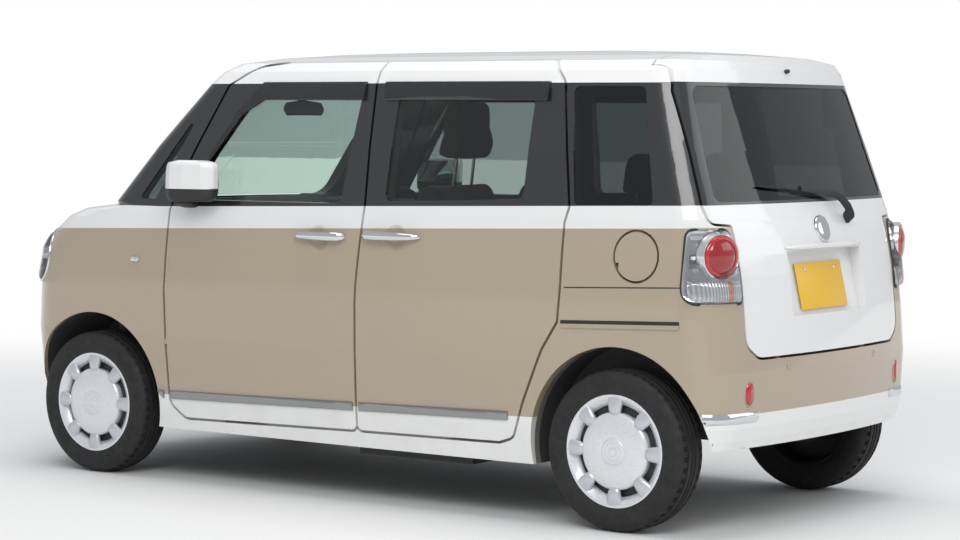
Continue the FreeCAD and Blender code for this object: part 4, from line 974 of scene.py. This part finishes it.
for side_name, side in SIDES:
    corner_tree = surface("tail_lamps", "rear_bumper", "body_side_" + side_name)
    place = round_a_corner(corner_tree, LAMP_PIVOT, side, *LAMP_BEARINGS, LAMP_LENGTH)
    rim_cord("lamp_gasket_" + side_name, LAMP_LOOP, place, 0.001, 0.0055, "trim")
    for label, loop, lift, depth, soft, finish_name in (
            ("bowl", LAMP_LOOP, 0.0001, 0.0004, 0.01, "reflector"),
            ("ribs", RIB_LOOP, 0.0006, 0.006, 0.006, "ribs"),
            ("reflex", REFLEX_LOOP, 0.0006, 0.004, 0.006, "smoke")):
        mapped_patch("lamp_%s_%s" % (label, side_name), loop, place, lift, depth, soft, finish_name, "body")
    axis = (-0.935, side * 0.355, 0.0)
    middle = (-1.604, side * 0.641, 0.952)
    for label, profile, finish_name, smooth in (
            ("barrel", BARREL, "reflector", 40.0), ("ring", RED_RING, "red", 60.0),
            ("red", RED_LENS, "prism", 60.0)):
        turned("lamp_%s_%s" % (label, side_name), [profile], middle, axis, finish_name, "body",
               56, smooth)
    mapped_patch("lamp_cover_" + side_name, LAMP_LOOP, place, 0.0005, 0.02, 0.035, "clear", "body")

# Tailgate: blank plate, ledge, plain boss, wiper, washer nozzle
slope = Matrix.Rotation(math.atan2(0.05, 0.22), 4, "Y")
bm = bmesh.new()
rounded_block(bm, (-0.0015, -0.165, -0.0825), (0.0015, 0.165, 0.0825), 0.0012, 2)
bmesh.ops.transform(bm, matrix=Matrix.Translation((-1.6365, 0, 0.829)) @ slope, verts=bm.verts[:])
finish_piece("blank_plate", bm, "plate", "tailgate", 40.0)
for label, y in (("right", -0.105), ("left", 0.105)):
    turned("plate_screw_" + label, [[(-0.004, 0.0062), (0.003, 0.0062), (0.0042, 0.0045), (0.0042, 0.0)]],
           (-1.6255, y, 0.8855), (-0.975, 0, 0.22), "chrome", "tailgate", 20, 40.0)
gate_tree = surface("tailgate", "tailgate_glass")


def from_behind(tree, y, z):
    """The place and the outward normal of the surface that a look from behind meets."""
    hit, normal = tree.ray_cast(Vector((-SEARCH_START, y, z)), Vector((1, 0, 0)))[:2]
    return hit, normal if normal.x < 0 else -normal


def gate_point(y, z, lift):
    return Vector((from_behind(gate_tree, y, z)[0].x - lift, y, z))


LEDGE_STEPS = 12
LEDGE_HALF = 0.275
ledge = []
for index in range(LEDGE_STEPS + 1):
    share = index / LEDGE_STEPS
    fade = min(1.0, (0.5 - abs(share - 0.5)) * 8 + 0.15)
    ledge.append((gate_point(-LEDGE_HALF + 2 * LEDGE_HALF * index / LEDGE_STEPS, 0.968, 0.002), 0.014 * fade,
                  0.007 * fade + 0.002, (1, 0, 0), (0, 0, 1)))
bars("plate_ledge", [ledge], "pearl", "tailgate", 12, 0.8)
turned("plain_boss", [[(-0.01, 0.048), (0.005, 0.048), (0.008, 0.045), (0.0075, 0.041), (0.011, 0.026),
                       (0.012, 0.0)]],
       gate_point(0.0, 1.027, 0.0), from_behind(gate_tree, 0.0, 1.027)[1], "chrome", "tailgate")

# The wiper arm: y, z, distance off the tailgate, half depth, half height
WIPER_ARM = [(-0.19, 1.06, 0.012, 0.014, 0.022), (-0.193, 1.075, 0.03, 0.018, 0.022),
             (-0.18, 1.1, 0.036, 0.015, 0.019), (-0.15, 1.13, 0.034, 0.012, 0.017),
             (-0.12, 1.147, 0.032, 0.01, 0.016), (-0.02, 1.159, 0.026, 0.009, 0.013),
             (0.1, 1.168, 0.02, 0.008, 0.01)]
arm = [(gate_point(y, z, lift), deep, high, (1, 0, 0), (0, 0.3, 1)) for y, z, lift, deep, high in WIPER_ARM]
bars("rear_wiper_arm", [arm], "trim", "tailgate", 10, 0.8)
BLADE_STEPS = 8
blade = []
for index in range(BLADE_STEPS + 1):
    y = -0.04 + 0.385 * index / BLADE_STEPS
    z = 1.152 + (1.181 - 1.152) * index / BLADE_STEPS
    thick = 0.0075 if 0 < index < BLADE_STEPS else 0.003
    blade.append((gate_point(y, z, 0.01), thick, thick * 0.7, (1, 0, 0), (0, 0, 1)))
bars("rear_wiper_blade", [blade], "rubber", "tailgate", 8)
nozzle = [(gate_point(-0.055, z, lift), wide, high, (0, 1, 0), (0, 0, 1)) for z, lift, wide, high in (
    (1.578, 0.0, 0.01, 0.008), (1.58, 0.012, 0.009, 0.008), (1.579, 0.017, 0.004, 0.004))]
bars("washer_nozzle", [nozzle], "trim", "tailgate", 14)

# Rear bumper: corner strips, reflectors in their recesses, parking sensors
bumper_tree = surface("rear_bumper")
BUMPER_PIVOT, BUMPER_BEARINGS, BUMPER_LENGTH = (-1.5, 0.52), (110.0, 198.0), 0.3
# A place is (distance from the car's middle, height); the turn is in radians.
REFLECTOR_PLACE, REFLECTOR_SQUEEZE, REFLECTOR_TURN = (0.53, 0.489), (1, 0.46, 0.98), 0.2
SENSOR_PLACE = (0.307, 0.566)
STRIP_LOOP = round_corners([(0.0, 0.424, 0.004), (0.3, 0.424, 0.004), (0.282, 0.388, 0.004),
                            (0.0, 0.388, 0.004)])
SENSOR = [(-0.003, 0.0135), (0.001, 0.013), (0.0018, 0.011), (0.0005, 0.0105), (0.0012, 0.009),
          (0.0015, 0.0)]
for side_name, side in SIDES:
    place = round_a_corner(bumper_tree, BUMPER_PIVOT, side, *BUMPER_BEARINGS, BUMPER_LENGTH)
    mapped_patch("bumper_strip_" + side_name, STRIP_LOOP, place, 0.0004, 0.006, 0.006, "chrome", "body")
    for label, profile, finish_name in (
            ("bezel", [(-0.004, 0.05), (0.0025, 0.0475), (0.0025, 0.044), (-0.004, 0.04)], "beige"),
            ("lens", [(-0.004, 0.04), (0.003, 0.038), (0.006, 0.03), (0.007, 0.0)], "red")):
        bm = bmesh.new()
        lathe(bm, profile, (0, 0, 0), (-1, 0, 0), 40)
        bmesh.ops.scale(bm, vec=REFLECTOR_SQUEEZE, verts=bm.verts[:])
        spot = Matrix.Translation(
            from_behind(bumper_tree, side * REFLECTOR_PLACE[0], REFLECTOR_PLACE[1])[0])
        spot = spot @ Matrix.Rotation(-side * REFLECTOR_TURN, 4, "Z")
        bmesh.ops.transform(bm, matrix=spot, verts=bm.verts[:])
        finish_piece("reflector_%s_%s" % (label, side_name), bm, finish_name, "body", 50.0)
    spot = from_behind(bumper_tree, side * SENSOR_PLACE[0], SENSOR_PLACE[1])[0]
    turned("parking_sensor_" + side_name, [SENSOR], spot, (-1, 0, 0), "beige", "body", 28)

# Headlamps: lens round the front corner with its bezel, projector and bowl
HEAD_PIVOT, HEAD_BEARINGS, HEAD_LENGTH, EYE_HEIGHT = (1.44, 0.5), (-8.0, 79.0), 0.3, 0.845
HEAD_LOOP = round_corners([(0.0, 0.948, 0.09), (0.3, 0.948, 0.1), (0.3, 0.742, 0.1),
                           (0.0, 0.742, 0.06)])
front_tree = surface("headlamps", "fender_left", "fender_right", "bonnet", "front_bumper")
for side_name, side in SIDES:
    place = round_a_corner(front_tree, HEAD_PIVOT, side, *HEAD_BEARINGS, HEAD_LENGTH)
    rim_cord("headlamp_bezel_" + side_name, HEAD_LOOP, place, 0.001, 0.006, "chrome")
    mapped_patch("headlamp_bowl_" + side_name, HEAD_LOOP, place, 0.0002, 0.002, 0.02, "reflector", "body")
    for label, u, radius, finish_name in (
            ("projector", 0.105, 0.045, "black"), ("beam", 0.215, 0.034, "chrome")):
        spot = place(u, EYE_HEIGHT, 0.003)
        eye = [(-0.01, radius), (0.003, radius), (0.005, radius * 0.92), (0.001, radius * 0.84),
               (0.003, radius * 0.7), (0.008, radius * 0.35), (0.009, 0.0)]
        turned("headlamp_%s_%s" % (label, side_name), [eye], spot, place(u, EYE_HEIGHT, 0.1) - spot,
               finish_name, "body", 36)
    mapped_patch("headlamp_cover_" + side_name, HEAD_LOOP, place, 0.0005, 0.018, 0.035, "clear", "body")


# Camera at the photograph's place, for a 960 by 540 picture

def look(position, yaw, pitch, roll, lens):
    forward = Vector((math.sin(yaw) * math.cos(pitch), -math.cos(yaw) * math.cos(pitch), -math.sin(pitch)))
    right = Vector((-math.cos(yaw), -math.sin(yaw), 0.0))
    up = right.cross(forward)
    right_2 = right * math.cos(roll) + up * math.sin(roll)
    up_2 = -right * math.sin(roll) + up * math.cos(roll)
    data = bpy.data.cameras.new("photo_view")
    data.lens = lens
    data.sensor_width = 36.0
    data.clip_end = 100.0
    camera = add_object("photo_view", data)
    camera.matrix_world = Matrix.Translation(position) @ Matrix(
        (right_2, up_2, -forward)).transposed().to_4x4()
    scene.camera = camera


look(Vector((-6.0844, 8.1286, 1.4163)), yaw=0.6307, pitch=0.059, roll=0.0056, lens=98.03)


# Floor, world and lamps

# Distances from the car's middle over which the floor turns white.
FADE_START, FADE_END = 2.2, 7.5


def make_floor():
    bm = bmesh.new()
    bmesh.ops.create_grid(bm, x_segments=2, y_segments=2, size=60.0)
    floor = add_object("studio_floor", bm)
    made = Finish("studio_floor", Roughness=0.85)
    made.colour(made.mix(made.noise(0.6, 2.0), (0.78, 0.78, 0.77), (0.76, 0.76, 0.755)))
    # Far from the object the floor turns into the white of the backdrop, as seen by the camera.
    x, y, _ = made.axes()
    reach = made.math("SQRT", made.math("ADD", made.product(x, x), made.product(y, y)))
    fade = made.node("MapRange", interpolation_type="SMOOTHSTEP", From_Min=FADE_START, From_Max=FADE_END)
    made.link(reach, fade.inputs["Value"])
    rays = made.node("LightPath")
    seen = made.math("MAXIMUM", rays.outputs["Is Camera Ray"], rays.outputs["Is Transmission Ray"])
    seen = made.math("MAXIMUM", seen, rays.outputs["Is Glossy Ray"])
    white = made.node("Emission", Color=(1, 1, 1, 1), Strength=1.0)
    blend = made.node("MixShader")
    made.link(made.product(fade.outputs["Result"], seen), blend.inputs["Fac"])
    made.link(made.shader.outputs["BSDF"], blend.inputs[1])
    made.link(white.outputs["Emission"], blend.inputs[2])
    made.link(blend.outputs["Shader"], made.tree.nodes["Material Output"].inputs["Surface"])
    floor.data.materials.append(made.material)


def make_world():
    world = bpy.data.worlds.new("studio")
    world.use_nodes = True
    tree = world.node_tree
    sky = tree.nodes["Background"]
    shown = tree.nodes.new("ShaderNodeBackground")
    for part, colour, strength in ((sky, (0.92, 0.95, 1.0, 1.0), 0.55), (shown, (1, 1, 1, 1), 1.0)):
        part.inputs["Color"].default_value = colour
        part.inputs["Strength"].default_value = strength
    rays = tree.nodes.new("ShaderNodeLightPath")
    blend = tree.nodes.new("ShaderNodeMixShader")
    tree.links.new(rays.outputs["Is Camera Ray"], blend.inputs["Fac"])
    tree.links.new(sky.outputs["Background"], blend.inputs[1])
    tree.links.new(shown.outputs["Background"], blend.inputs[2])
    tree.links.new(blend.outputs["Shader"], tree.nodes["World Output"].inputs["Surface"])
    scene.world = world


def make_lamp(name, place, target, width, watts):
    data = bpy.data.lights.new(name, "AREA")
    data.shape = "RECTANGLE"
    data.size = width
    data.size_y = width * 0.6
    data.energy = watts
    lamp = add_object(name, data)
    lamp.location = place
    lamp.rotation_euler = (Vector(target) - Vector(place)).to_track_quat("-Z", "Y").to_euler()


make_floor()
make_world()
make_lamp("key", (-5.0, 7.0, 6.5), (0, 0, 0.8), 6.5, 440)
make_lamp("top", (0.0, 0.0, 7.0), (0, 0, 0), 6.0, 240)
make_lamp("rear", (-9.5, -5.0, 5.0), (0, 0, 0.8), 8.0, 150)

scene.view_settings.view_transform = "Standard"
